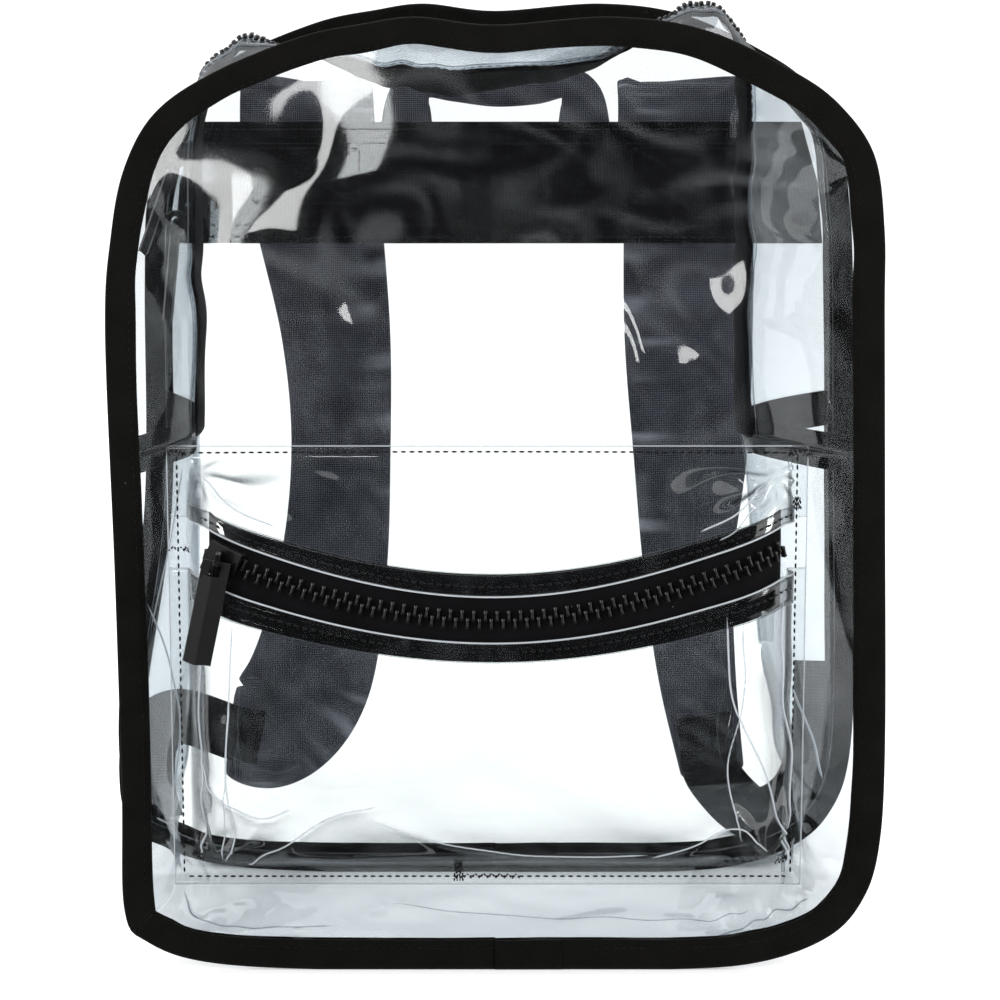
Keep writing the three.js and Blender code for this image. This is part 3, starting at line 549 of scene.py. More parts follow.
def moulded(name, slot, colour, roughness, grain_mm, relief_mm, coat=0.0, shine=0.5):
    """Plastic from a spark-eroded mould, or a painted casting: a fine even grain that breaks up the gloss."""
    material, tree = new_material(name, slot)
    where = add(tree, "TexCoord", out="Object")
    grain = add(tree, "TexNoise", {"Vector": where, "Scale": 1000 / grain_mm, "Detail": 2.0})
    rub = add(tree, "TexNoise", {"Vector": where, "Scale": 1000 / 6, "Detail": 3.0})
    gloss = add(tree, "MapRange", {"Value": rub, "To Min": roughness - 0.1, "To Max": roughness + 0.1})
    relief = add(tree, "Bump", {"Height": grain, "Strength": 1.0, "Distance": relief_mm / 1000})
    surface = add(tree, "BsdfPrincipled", {
        "Base Color": linear(colour), "Roughness": gloss, "Normal": relief, "Specular IOR Level": shine,
        "Coat Weight": coat, "Coat Roughness": 0.15,
    })
    add(tree, "OutputMaterial", {"Surface": surface})
    return material


# Clear calendered PVC. The gusset is more handled than the panels, so it is a little hazier.
PANEL_PVC = clear_pvc("calendered_pvc_panel", "#fdfefe", "#7d8388", 0.022)
GUSSET_PVC = clear_pvc("calendered_pvc_gusset", "#fcfdfe", "#dde1e4", 0.014, silver=0.22)
POCKET_PVC = clear_pvc("calendered_pvc_pocket", "#fdfefe", "#6f757a", 0.008)
# Where the sheet is cut, its edge scatters the light and draws a pale grey line.
CUT_PVC = clear_pvc("cut_pvc_edge", "#aab0b4", "#80868a", 0.25, 0.2)
# Painted highlight of hard folds and rolled edges: a milky sheet, bright over black, pale grey over white.
FOLD_HIGHLIGHT_PVC = clear_pvc("pvc_painted_fold_highlight", "#dadfe2", "#9aa1a6", 0.0, 0.42)
# Polyester twill tape: fine slanted ribs, nearly black, dull.
EDGE_TAPE = woven("polyester_twill_tape", "binding_tape", "#070706", "#1b1a18", 0.85, 0.5, 0.12, turn=0.35)
# Knitted polyester zip tape: a tight small grid.
ZIP_CLOTH = woven("knitted_zip_tape", "zip_tape", "#060607", "#19191c", 0.7, 0.7, 0.12, turn=0.78)
# Polypropylene webbing: heavy ribs across the band.
RIBBED_WEBBING = woven("polypropylene_webbing", "woven_webbing", "#060607", "#1e1e21", 1.5, 0.9, 0.25)
# Polyester plain weave over foam: charcoal, seen bluish under the sheet's veil, with a painted highlight on
# the crests of its puckers.
STRAP_WEAVE = woven(
    "polyester_plain_weave", "strap_cloth", "#1b1b21", "#70727e", 0.8, 0.8, 0.12, flat=False, crest_highlight="#85868f"
)
# Acetal moulded teeth, matt with a slight gloss on their heads.
CHAIN_ACETAL = moulded("moulded_acetal", "zip_chain", "#111111", 0.34, 0.25, 0.01, shine=0.6)
# Die-cast slider with baked black enamel.
ENAMEL = moulded("baked_enamel_die_casting", "slider_metal", "#080808", 0.3, 0.5, 0.01, coat=0.3, shine=0.3)
# Soft-touch moulded pulls: dull, with lighter facets where the light falls.
PULL_RUBBER = moulded("moulded_soft_touch_pvc", "pull_plastic", "#131314", 0.5, 0.2, 0.01, shine=0.4)
# Bonded nylon thread: round and slightly shiny.
NYLON_THREAD = moulded("bonded_nylon_thread", "binding_tape", "#060607", 0.5, 0.3, 0.02, shine=0.25)

# Stitching

THREAD = 0.5  # thickness of the sewing thread as it lies
STITCH_HALF = 0.38  # half the length of a stitch, as a share of its pitch


def stitches(name, runs, pitch=STITCH_PITCH, thick=THREAD):
    """Rows of lockstitch. A run is a path and the cloth's normal, both taken by share."""
    bm = bmesh.new()
    for along, out in runs:
        fine = np.linspace(0, 1, 500)
        gone = length_along(along(fine))
        count = max(2, round(gone[-1] / pitch))
        middles = np.arange(count) + 0.5
        start, middle, end = (
            np.interp((middles + way * STITCH_HALF) / count * gone[-1], gone, fine) for way in (-1, 0, 1)
        )
        start, end, up = to_frame(along(start)), to_frame(along(end)), out(middle)
        for a, b, n in zip(start, end, up):
            way = Vector(b - a)
            half = way.length / 2
            x = way.normalized()
            z = Vector(n)
            z = (z - x * z.dot(x)).normalized()
            y = z.cross(x)
            r = thick / 2000
            rows = Matrix((x * half, y * r, z * r * 0.8)).transposed().to_4x4()
            rows.translation = Vector((a + b) / 2)
            bmesh.ops.create_icosphere(bm, subdivisions=1, radius=1, matrix=rows)
    return piece(name, mesh_of(bm, name), NYLON_THREAD)


def on_surface(surface, shares, lift):
    """A path on a surface through pairs of shares, with its normal, for a row of stitches."""
    us, vs = np.array(shares, float).T
    steps = np.linspace(0, 1, len(us))

    def at(t):
        return np.interp(t, steps, us), np.interp(t, steps, vs)

    raised = lifted(surface, lift)
    return (lambda t: raised(*at(t))), (lambda t: normal(surface, *at(t)))


def fold_highlight_lines(name, runs):
    """Hard folds and rolled edges of the sheet: fine beads that taper to their ends, in a milky sheet that
    paints their highlights. A run is a path and a width."""
    bm = bmesh.new()
    for path, thick in runs:
        def place(s, v, path=path, thick=thick):
            t = tangent(path, np.clip(s, 2e-4, 1 - 2e-4))
            side = np.cross(t, np.array([0.1, 1.0, 0.2]))
            side = side / np.linalg.norm(side, axis=-1, keepdims=True)
            out = np.cross(side, t)
            r = (thick / 2 * np.clip(np.sin(math.pi * s) * 6, 0.15, 1))[..., None]
            a = (2 * math.pi * v)[..., None]
            return path(s) + side * np.cos(a) * r + out * np.sin(a) * r

        bead = surface_mesh("bead", spread(0, 1, 90), spread(0, 1, 6), place, wrap=(False, True))
        bm.from_mesh(bead)
        bpy.data.meshes.remove(bead)
    made = piece(name, mesh_of(bm, name), FOLD_HIGHLIGHT_PVC)
    made.visible_shadow = False
    return made


def drawn(surface, points, lift=0.4):
    """A smooth path over a surface through points given by their shares u and v."""
    shares = curve([(u, v, 0) for u, v in points])

    def path(t):
        at = shares(t)
        return lifted(surface, lift)(at[..., 0], at[..., 1])

    return path


# Clear panels

PANEL_MIDDLE = np.array([0, 0, HEIGHT / 2])
HELD_FROM = 1 - 2 * BINDING_WIDTH / WIDTH


def front_wave(x, z):
    across = x / (WIDTH / 2)
    up = (z - POCKET_TOP - 2 * BINDING_WIDTH) / (HEIGHT - POCKET_TOP - 4 * BINDING_WIDTH)
    inside = (up > 0) & (up < 1)
    return np.where(inside, FRONT_WAVE * np.sin(math.pi * up) ** 2 * np.sin(3 * across + 1), 0)


front_ripples = ripples(21, 85)
front_creases = ripples(27, 34)
back_ripples = ripples(22, 95)


def front_bulge(x, z):
    loose = smooth(z, POCKET_TOP + 6, POCKET_TOP + 40)
    return front_wave(x, z) + front_ripples(x, z) * (0.15 + 0.75 * loose) + front_creases(x, z) * 0.14 * loose


def back_bulge(x, z):
    return -0.35 - 0.35 * back_ripples(x, z)


def panel(loop, y, bulge):
    def place(u, v):
        a, b = 2 * u - 1, 2 * v - 1
        dx, dz = a * np.sqrt(1 - b**2 / 2), b * np.sqrt(1 - a**2 / 2)
        radius = np.hypot(dx, dz)
        p = edge(loop, np.arctan2(dx, -dz) / (2 * math.pi), BINDING_TAPE + CLEARANCE, 0) - PANEL_MIDDLE
        p = p * radius[..., None] + PANEL_MIDDLE
        free = np.maximum(0, 1 - (radius / HELD_FROM) ** 4)
        p[..., 1] = y + free * bulge(p[..., 0], p[..., 2])
        return p

    return place


for name, loop, y, bulge in (
    ("front_panel", front_loop, FRONT_Y, front_bulge),
    ("back_panel", back_loop, BACK_Y, back_bulge),
):
    made = clear_sheet(
        name + "_sheet", spread(1, 0, 130), spread(0, 1, 150), panel(loop, y, bulge), PANEL_PVC, 71, [name]
    )

# Bound edges: tape folded over the edge, wider where it is seen square on, with an overlap at the bottom

TAPE_SECTION = np.array([
    [12, 1.75], [9.5, 1.95], [6, 2.0], [3, 1.95], [1, 1.75], [0.2, 1.15], [0, 0], [0.2, -1.15], [1, -1.75],
    [3, -1.95], [6, -2.0], [9.5, -1.95], [12, -1.75], [12, -1.0], [6, -0.9], [1.3, -0.85], [1.1, 0],
    [1.3, 0.85], [6, 0.9], [12, 1.0],
])
TAPE_WIDE = np.array([
    [0, 12.8], [0.14, 13.0], [0.25, 12.6], [0.4, 12.0], [0.5, 10.6], [0.62, 10.8], [0.75, 11.6], [0.9, 12.4],
    [1, 12.8],
])
tape_wide = through(TAPE_WIDE, 0, 1)
edge_puckers = ripples(31, 11)
edge_waver = ripples(32, 55)


def bound_edge(loop, y, grow=1.0):
    around = len(TAPE_SECTION)

    def place(s, v):
        i = v * around
        low = np.floor(i).astype(int) % around
        k = (i - np.floor(i))[..., None]
        section = TAPE_SECTION[low] * (1 - k) + TAPE_SECTION[(low + 1) % around] * k
        inset, side = section[..., 0], section[..., 1] * grow
        wide = (tape_wide(s % 1) + 0.25 * edge_waver(s * TAPE_ROUND, 0)) / BINDING_WIDTH
        p = edge(loop, s, inset * wide, y)
        lap = np.where(np.abs(side) > 1.5, edge_puckers(s * TAPE_ROUND, inset * 1.5) * 0.12, 0)
        p[..., 1] += side + np.sign(side) * lap
        return p

    return place


LAP_LENGTH = 0.012  # of the way round
LAP_GROWS = 1.22  # the lap lies over the tape
ROW_INSET, ROW_OUT = 9.4, 2.05  # where the binding's stitches lie, in from its edge and out of its middle
for name, loop, y in (("front_binding", front_loop, FRONT_Y), ("back_binding", back_loop, BACK_Y)):
    around, round_bag = spread(0, 1, len(TAPE_SECTION)), even(loop, 1, 0, 480)
    laid(name + "_tape", round_bag, around, bound_edge(loop, y), EDGE_TAPE, [name], wrap=(True, True))
    lap = bound_edge(loop, y, LAP_GROWS)
    laid(name + "_lap", spread(LAP_LENGTH, 0, 8), around, lap, EDGE_TAPE, wrap=(False, True))
    stitches(name + "_stitches", [
        (
            lambda t, loop=loop, y=y, side=side: edge(loop, t, ROW_INSET, y + side * ROW_OUT),
            lambda t, side=side: stack(t * 0, side, 0),
        )
        for side in (-1, 1)
    ], thick=0.4)

# Gusset, main zip and joint tapes

JOINT_HALF = JOINT_TAPE_WIDTH / 2
UNDER = -(PVC / 2 + SEWN_GAP + ZIP_TAPE / 2)
TEETH_LIFT = UNDER + ZIP_TAPE / 2 + CLEARANCE + TEETH_HEIGHT / 2
OVER = PVC / 2 + SEWN_GAP + BINDING_TAPE / 2
TAPE_SHARE = ZIP_TAPE_WIDTH / 2 / DEPTH
SHOWN_SHARE = ZIP_SHOWN / 2 / DEPTH
HEM = 8
HEM_SHARE = HEM / DEPTH
HEM_LIFT = 0.6  # of the folded layer over the sheet
HEM_SEAM = 0.45  # where its stitches run, as a share of the hem


def strip(surface, lift):
    raised = lifted(surface, lift)

    def place(s, t):
        p = raised(s, t)
        p[..., 1] = np.clip(p[..., 1], GUSSET_FRONT_Y, GUSSET_BACK_Y)
        return p

    return place


zip_from, zip_to = round_plus(joint_right, JOINT_HALF), round_plus(joint_left, -JOINT_HALF)
upper_s = even(gusset_middle, round_plus(joint_right, CLEARANCE), round_plus(joint_left, -CLEARANCE), 260)
lower_s = even(gusset_middle, joint_left, 1 + joint_right, 240)
for name, side, start, end in (
    ("upper_gusset_front", 1, 0.5 + SHOWN_SHARE, 1),
    ("upper_gusset_rear", -1, 0, 0.5 - SHOWN_SHARE),
):
    ts = spread(start, end, 26)
    made = clear_sheet(name + "_sheet", upper_s, ts, strip(bag_side, 0), GUSSET_PVC, 74, [name])
    low, high = sorted(0.5 + side * (SHOWN_SHARE + wide) for wide in (0, HEM_SHARE))
    hem = clear_sheet(name + "_hem", upper_s, spread(low, high, 4), strip(bag_side, HEM_LIFT), GUSSET_PVC, 77)
made = clear_sheet(
    "bottom_gusset_sheet", lower_s, spread(0, 1, 44), strip(bag_side, 0), GUSSET_PVC, 80, ["bottom_gusset"]
)

ts = spread(0.5 - TAPE_SHARE, 0.5 + TAPE_SHARE, 10)
laid("main_zip_cloth", upper_s, ts, strip(bag_side, UNDER), ZIP_CLOTH, ["main_zip_tape"], ZIP_TAPE)


TOOTH_SIZE = (1.75, 4.4, 2.3)


def tooth():
    """One moulded tooth, waisted where it grips the tape, in millimetres: x along the chain, z out of it."""
    bm = bmesh.new()
    bmesh.ops.create_cube(bm, size=1)
    across = [e for e in bm.edges if abs(e.verts[0].co.y - e.verts[1].co.y) > 0.5]
    bmesh.ops.subdivide_edges(bm, edges=across, cuts=2, use_grid_fill=True)
    for v in bm.verts:
        if abs(v.co.y) < 0.3:
            v.co.x *= 0.62
    bmesh.ops.scale(bm, vec=TOOTH_SIZE, verts=bm.verts)
    sharp = [e for e in bm.edges if e.calc_face_angle(0) > 0.35]
    bmesh.ops.bevel(bm, geom=sharp, offset=0.28, segments=1, profile=0.5, affect="EDGES", material=-1)
    return mesh_of(bm, "tooth")


TOOTH = tooth()
TOOTH_OFFSET = 0.00155  # of each row from the middle of the chain, in metres


def chain(name, surface, start, end, v, replaces):
    """Two rows of teeth that mesh along a share v of a surface."""
    def line(u):
        return surface(u, v)

    count = round(length_along(line(np.linspace(start, end, 600)))[-1] / TOOTH_PITCH * 2)
    u = even(line, start, end, 2 * count)[1::2]
    at = to_frame(lifted(surface, TEETH_LIFT)(u, v))
    out = normal(surface, u, v)
    along = surface(u + 1e-4, v) - surface(u - 1e-4, v)
    bm = bmesh.new()
    for k in range(count):
        x = Vector(along[k]).normalized()
        z = Vector(out[k]).normalized()
        y = z.cross(x)
        place = Matrix((x, y, z)).transposed().to_4x4()
        place.translation = Vector(at[k]) + y * (TOOTH_OFFSET if k % 2 else -TOOTH_OFFSET)
        before = len(bm.verts)
        bm.from_mesh(TOOTH)
        bm.verts.ensure_lookup_table()
        bmesh.ops.transform(bm, matrix=place @ Matrix.Scale(0.001, 4), verts=bm.verts[before:])
    return piece(name, mesh_of(bm, name), CHAIN_ACETAL, replaces=replaces)


chain("main_zip_chain", bag_side, zip_from, zip_to, 0.5, ["main_zip_teeth"])

runs = []
for side in (-1, 1):
    t = 0.5 + side * (SHOWN_SHARE + HEM_SHARE * HEM_SEAM)
    runs.append(on_surface(bag_side, [(upper_s[0], t), (upper_s[-1], t)], 1.0))
stitches("main_zip_stitches", runs)

TAPE_ENDS = (JOINT_TAPE_INSET / DEPTH, 1 - JOINT_TAPE_INSET / DEPTH)
for name, joint in (("right", joint_right), ("left", joint_left)):
    round_s = spread(round_plus(joint, -JOINT_HALF), round_plus(joint, JOINT_HALF), 8)
    laid(
        "joint_cloth_" + name, round_s, spread(*TAPE_ENDS, 60), strip(bag_side, OVER), EDGE_TAPE,
        ["joint_tape_" + name], BINDING_TAPE
    )
    runs = []
    for way in (-1, 1):
        s = round_plus(joint, way * (JOINT_HALF - 2))
        runs.append(on_surface(bag_side, [(s, t) for t in TAPE_ENDS], OVER + 0.6))
    stitches("joint_stitches_" + name, runs, thick=0.4)


def side_at(side, height):
    return round_at(gusset_middle, height, side)


# Creases of the gusset, drawn as painted highlights: up its sides by height in millimetres and share of the
# depth, and under the bottom by share of the way round and share of the depth; each with its width.
runs = []
for side, points, thick in (
    (-1, [(150, 0.95), (118, 0.8), (92, 0.72), (60, 0.74)], 0.8),
    (-1, [(200, 0.72), (170, 0.82), (140, 0.93)], 0.6),
    (-1, [(60, 0.9), (48, 0.7), (34, 0.5)], 0.8),
    (1, [(110, 0.74), (92, 0.8), (74, 0.84)], 1.1),
):
    runs.append((drawn(bag_side, [(side_at(side, height), depth) for height, depth in points]), thick))
for points, thick in (
    ([(0.895, 0.6), (0.93, 0.78), (0.97, 0.7)], 0.8),
    ([(0.98, 0.5), (1.03, 0.66), (1.07, 0.6)], 0.6),
    ([(1.05, 0.85), (1.08, 0.7), (1.11, 0.8)], 0.8),
):
    runs.append((drawn(bag_side, points), thick))
fold_highlight_lines("gusset_fold_highlight_lines", runs)

# Sliders and pulls keep the solids' shapes, with the rounded arrises of castings and mouldings


def softened(node, name, material, body, arris_mm):
    bm = bmesh.new()
    bm.from_mesh(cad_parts[node].data)
    bmesh.ops.remove_doubles(bm, verts=bm.verts, dist=1e-6)
    bmesh.ops.dissolve_limit(bm, angle_limit=0.02, verts=bm.verts, edges=bm.edges)
    made = piece(name, mesh_of(bm, name), material, body, replaces=[node])
    made.data.polygons.foreach_set("use_smooth", [False] * len(made.data.polygons))
    round_off = made.modifiers.new("arris", "BEVEL")
    round_off.width = arris_mm / 1000
    round_off.segments = 3
    round_off.limit_method = "ANGLE"
    round_off.angle_limit = 0.35
    return made


for which in ("main_pull_1", "main_pull_2", "pocket_pull"):
    softened(which, which + "_moulded", PULL_RUBBER, which, 0.35)
for which in ("main_slider_1", "main_slider_2", "pocket_slider"):
    softened(which, which + "_cast", ENAMEL, "bag", 0.4)

# Front pocket

pocket_up_share = share_per_mm(lambda v: pocket(0.5, v), POCKET_ZIP_AT)
shown_low, shown_high = (POCKET_ZIP_AT + way * ZIP_SHOWN / 2 * pocket_up_share for way in (-1, 1))
tape_low, tape_high = (POCKET_ZIP_AT + way * ZIP_TAPE_WIDTH / 2 * pocket_up_share for way in (-1, 1))

pocket_ripples = ripples(41, 42)


def crushed(x, z, corner_x, corner_z, reach, folds, turn):
    """Sharp creases that fan out of a sewn corner."""
    dx, dz = x - corner_x, z - corner_z
    r = np.hypot(dx, dz)
    fan = np.arctan2(dz, dx) * folds + turn + 0.5 * np.sin(r / 9.0)
    return np.exp(-((r / reach) ** 2)) * smooth(r, 2, 14) * (1 - 2 * np.abs(np.sin(fan)))


# Folds of the pocket's sheet, as points x and z in millimetres and a height.
POCKET_FOLDS = (
    ([(-116, 92), (-104, 78), (-90, 72), (-80, 76)], 2.2),
    ([(-99, 46), (-90, 54), (-64, 73), (-46, 77)], 2.0),
    ([(-48, 72), (-18, 60), (25, 54), (60, 54)], 1.8),
    ([(97, 152), (96, 120), (91, 92), (97, 60)], 1.8),
    ([(108, 54), (96, 68), (80, 60), (62, 53)], 2.0),
    ([(-114, 205), (-102, 195), (-86, 188)], 2.0),
    ([(108, 205), (96, 195), (80, 186)], 2.2),
    ([(104, 200), (94, 188), (88, 183)], 1.6),
    ([(-108, 50), (-102, 66), (-106, 88), (-104, 120)], 1.8),
)


def fold_height(x, z):
    """Narrow ridges with a sharp crest along the folds, dying away at their ends."""
    height = np.zeros(np.shape(x))
    for points, rise in POCKET_FOLDS:
        line = curve([(a, 0, b) for a, b in points])(np.linspace(0, 1, 60))
        squared = (x[..., None] - line[:, 0]) ** 2 + (z[..., None] - line[:, 2]) ** 2
        nearest = squared.argmin(-1)
        fade = np.sin(math.pi * np.linspace(0.04, 0.96, 60))[nearest] ** 0.5
        height = height + rise * fade * np.exp(-np.sqrt(squared.min(-1)) / 2.6)
    return height


# The crushed corners: x, z, reach, folds in the fan, and how far it is turned.
CRUSHED_CORNERS = (
    (POCKET_LEFT + 6, POCKET_TOP - 6, 26, 4.0, 0.4),
    (POCKET_RIGHT - 6, POCKET_TOP - 6, 30, 4.5, 1.1),
    (POCKET_LEFT + 10, POCKET_BOTTOM + 8, 24, 3.5, 0.2),
    (POCKET_RIGHT - 8, POCKET_BOTTOM + 8, 28, 3.5, 1.9),
)


def pocket_skin(u, v):
    """The pocket with its crushed corners, soft waves and the fold lines down its sides."""
    u, v = np.broadcast_arrays(np.asarray(u, float), np.asarray(v, float))
    p = pocket(u, v)
    x, z = p[..., 0], p[..., 2]
    creases = sum(crushed(x, z, *corner) for corner in CRUSHED_CORNERS)
    side = patch(u, 0.87 + 0.012 * np.sin(v * 9), 0.018, 2)
    side = side + patch(u, 0.125 + 0.008 * np.sin(v * 7 + 1), 0.016, 2)
    below_zip = smooth(v, 0.08, 0.2) * (1 - smooth(v, 0.5, 0.56))
    loose = smooth(v, 0.04, 0.14) * (1 - smooth(v, 0.5, 0.58))
    loose = loose + smooth(v, 0.82, 0.88) * (1 - smooth(v, 0.93, 0.97))
    free = np.minimum(smooth(u, 0.03, 0.1), 1 - smooth(u, 0.9, 0.97)) * np.clip(loose, 0, 1)
    away = free * (creases * 3.4 + pocket_ripples(x, z) * 0.8 + fold_height(x, z)) + side * below_zip * 2.2
    return p + normal(pocket, u, v) * away[..., None]


pocket_u = spread(0, 1, 230)
face_v = np.concatenate([spread(0, 0.2, 30)[:-1], spread(0.2, shown_low, 60)])
pocket_face = clear_sheet("pocket_face_sheet", pocket_u, face_v, pocket_skin, POCKET_PVC, 83, ["pocket_face"])
pocket_top = clear_sheet(
    "pocket_top_sheet", pocket_u, spread(shown_high, 1, 40), pocket_skin, POCKET_PVC, 83, ["pocket_top"]
)
zip_u = spread(POCKET_ZIP_FROM, POCKET_ZIP_TO, 150)
laid(
    "pocket_zip_cloth", zip_u, spread(tape_low, tape_high, 10), lifted(pocket_skin, UNDER), ZIP_CLOTH,
    ["pocket_zip_tape"], ZIP_TAPE
)
chain("pocket_zip_chain", pocket_skin, POCKET_ZIP_FROM, POCKET_ZIP_TO, POCKET_ZIP_AT, ["pocket_zip_teeth"])
hem_share = HEM * pocket_up_share
for name, low, high, sheet, flat in (
    ("pocket_hem_low", shown_low - hem_share, shown_low, pocket_face, (0.287, 0.13)),
    ("pocket_hem_high", shown_high, shown_high + hem_share, pocket_top, (0.287, 0.048)),
):
    hem_u, hem_v = spread(0.05, 0.95, 200), spread(low, high, 4)
    hem = clear_sheet(name, hem_u, hem_v, lifted(pocket_skin, HEM_LIFT), POCKET_PVC, 86)
runs = []
for start, end, lift in (
    ((0.1, shown_low - hem_share * HEM_SEAM), (0.92, shown_low - hem_share * HEM_SEAM), 1.0),
    ((0.1, shown_high + hem_share * HEM_SEAM), (0.92, shown_high + hem_share * HEM_SEAM), 1.0),
    ((0.02, 0.985), (0.98, 0.985), 0.5),
    ((0.02, 0.015), (0.98, 0.015), 0.5),
    ((0.015, 0.02), (0.015, 0.98), 0.5),
    ((0.985, 0.02), (0.985, 0.98), 0.5),
):
    runs.append(on_surface(pocket_skin, [start, end], lift))
stitches("pocket_stitches", runs, pitch=3.3, thick=0.9)


def bartack(u, v, length, wide, turns):
    """Thread sewn to and fro over one spot of the pocket's seam. Shares of the pocket, length along u."""
    us = u + spread(-0.5, 0.5, turns * 2) * length
    vs = v + np.where(np.arange(turns * 2 + 1) % 2, 0.5, -0.5) * wide
    return on_surface(pocket_skin, list(zip(us, vs)), 0.8)


stitches("pocket_bartacks", [bartack(*spot) for spot in (
    (0.985, 0.985, 0.045, 0.02, 6),
    (0.015, 0.985, 0.035, 0.02, 5),
    (0.06, 0.08, 0.05, 0.025, 6),
    (0.93, 0.07, 0.06, 0.03, 7),
    (0.5, 0.016, 0.09, 0.012, 8),
    (0.02, 0.68, 0.06, 0.012, 5),
    (0.46, 0.03, 0.012, 0.05, 3),
    (0.985, 0.8, 0.012, 0.05, 4),
)], pitch=2.2, thick=0.8)


def shares_at(points):
    """The shares of the pocket's sheet that lie at points x and z."""
    us, vs = np.meshgrid(np.linspace(0.02, 0.98, 160), np.linspace(0.02, 0.98, 120))
    skin = pocket_skin(us, vs)
    found = []
    for x, z in points:
        k = np.argmin((skin[..., 0] - x) ** 2 + (skin[..., 2] - z) ** 2)
        found.append((us.flat[k], vs.flat[k]))
    return found


# Painted highlights of the rolled edges beside the zip and round the pocket, then of the folds down its
# sides, with their widths.
ROLLED = 0.45
runs = [
    (drawn(pocket_skin, [(0.05, v), (0.5, v), (0.95, v)], 0.9), 0.8) for v in (shown_low, shown_high)
]
for points, thick in (
    ([(0, 0), (0.5, 0), (1, 0)], ROLLED),
    ([(0, 1), (0.5, 1), (1, 1)], ROLLED),
    ([(0, 0), (0, 0.5), (0, 1)], ROLLED),
    ([(1, 0), (1, 0.5), (1, 1)], ROLLED),
    ([(0.075, 0.06), (0.09, 0.25), (0.085, 0.42), (0.11, 0.6)], 0.8),
    ([(0.13, 0.08), (0.145, 0.25), (0.15, 0.4), (0.16, 0.6)], 0.6),
    ([(0.93, 0.06), (0.87, 0.3), (0.83, 0.45), (0.82, 0.62)], 0.8),
    ([(0.935, 0.06), (0.92, 0.3), (0.9, 0.45), (0.9, 0.62)], 0.9),
    ([(0.94, 0.06), (0.955, 0.3), (0.965, 0.45), (0.95, 0.62)], 0.7),
):
    runs.append((drawn(pocket_skin, points), thick))
for points, rise in POCKET_FOLDS:
    runs.append((drawn(pocket_skin, shares_at(points)), 0.35 * rise))
fold_highlight_lines("pocket_fold_highlight_lines", runs)

# Back: yoke band, straps, webbing and handle

yoke_z = np.array([YOKE_TOP - YOKE_WIDTH, YOKE_TOP - YOKE_WIDTH / 2, YOKE_TOP])


def inside_binding(s):
    return edge(back_loop, s, BINDING_WIDTH + YOKE_END_GAP, 0)


yoke_ends = np.array([
    [inside_binding(round_at(inside_binding, z, side))[..., 0] for z in yoke_z] for side in (-1, 1)
])


def yoke(u, v):
    z = YOKE_TOP - (1 - v) * YOKE_WIDTH
    left, right = (np.interp(z, yoke_z, ends) for ends in yoke_ends)
    return stack(left + (right - left) * u, BACK_FACE + WEBBING / 2, z)


laid("yoke_webbing", spread(1, 0, 120), spread(0, 1, 16), yoke, RIBBED_WEBBING, ["yoke_band"], WEBBING)


def line(start, end, side):
    """A straight run of stitches on the back: side is -1 on the front face of the sheet, 1 on the band."""
    start, end = np.array(start, float), np.array(end, float)
    y = BACK_Y - 1.1 if side < 0 else BACK_FACE + WEBBING + 0.1
    way = end - start
    return (
        lambda t: stack(start[0] + way[0] * t, y, start[1] + way[1] * t),
        lambda t: stack(t * 0, side, 0),
    )


YOKE_ROWS = (3, 9, YOKE_WIDTH - 8, YOKE_WIDTH - 3)
runs = []
for side in (-1, 1):
    for down in YOKE_ROWS:
        z = YOKE_TOP - down
        ends = [np.interp(z, yoke_z, e) for e in yoke_ends]
        runs.append(line((ends[0] + 3, z), (ends[1] - 3, z), side))
# A crossed box holds the sewn end of each strap.
box_low, box_high = STRAP_RIGHT[0, 2] * YOKE_TOP + 3, STRAP_RIGHT[1, 2] * YOKE_TOP
for middle in (-STRAP_SPACING / 2, STRAP_SPACING / 2):
    left, right = middle - STRAP_WIDTH * 0.4, middle + STRAP_WIDTH * 0.4
    corners = [(left, box_low), (right, box_low), (right, box_high), (left, box_high)]
    runs += [line(corners[a], corners[b], -1) for a, b in ((0, 1), (1, 2), (2, 3), (3, 0), (0, 2), (1, 3))]
stitches("yoke_stitches", runs, thick=0.55)


def flat_on_back(t, s=0):
    """Which way is across a band that lies flat on the back."""
    return np.cross(t, np.array([0, 1, 0]))


def level_then_flat(t, s):
    """Across a strap: level where it leaves the yoke, then flat on the back."""
    k = smooth(s, 0.45, 0.65)[..., None]
    return np.array([1.0, 0, 0]) * (1 - k) + flat_on_back(t) * k


def frame_along(path, across, s):
    """The points of a path, with the ways across it and out of it."""
    p, t = path(s), tangent(path, np.clip(s, 1e-4, 1 - 1e-4))
    side = across(t, s)
    side = side - t * (side * t).sum(-1, keepdims=True)
    side = side / np.linalg.norm(side, axis=-1, keepdims=True)
    out = np.cross(side, t)
    return p, side, out / np.linalg.norm(out, axis=-1, keepdims=True)


def column_of(rows, column):
    """A column of a table, by the share of the way down it."""
    steps = np.stack([np.linspace(0, 1, len(rows)), rows[:, column]], axis=-1)
    return through(steps, 0, 1)


def loft(name, node, material, path, across, wide, thick, rings, around, corner, relief=None):
    """A band along a path. corner runs from 1, an oval section, to 0.2, nearly square."""

    def place(s, v):
        p, side, out = frame_along(path, across, s)
        a = 2 * math.pi * v
        x = np.sign(np.cos(a)) * np.abs(np.cos(a)) ** corner * wide(s) / 2
        z = np.sign(np.sin(a)) * np.abs(np.sin(a)) ** corner * thick(s) / 2
        if relief is not None:
            z = z + np.sin(a) * relief(s, x)
        return p + side * x[..., None] + out * z[..., None]

    return laid(name, spread(0, 1, rings), spread(0, 1, around), place, material, [node], wrap=(False, True))


SWELL_FRAMES = 20


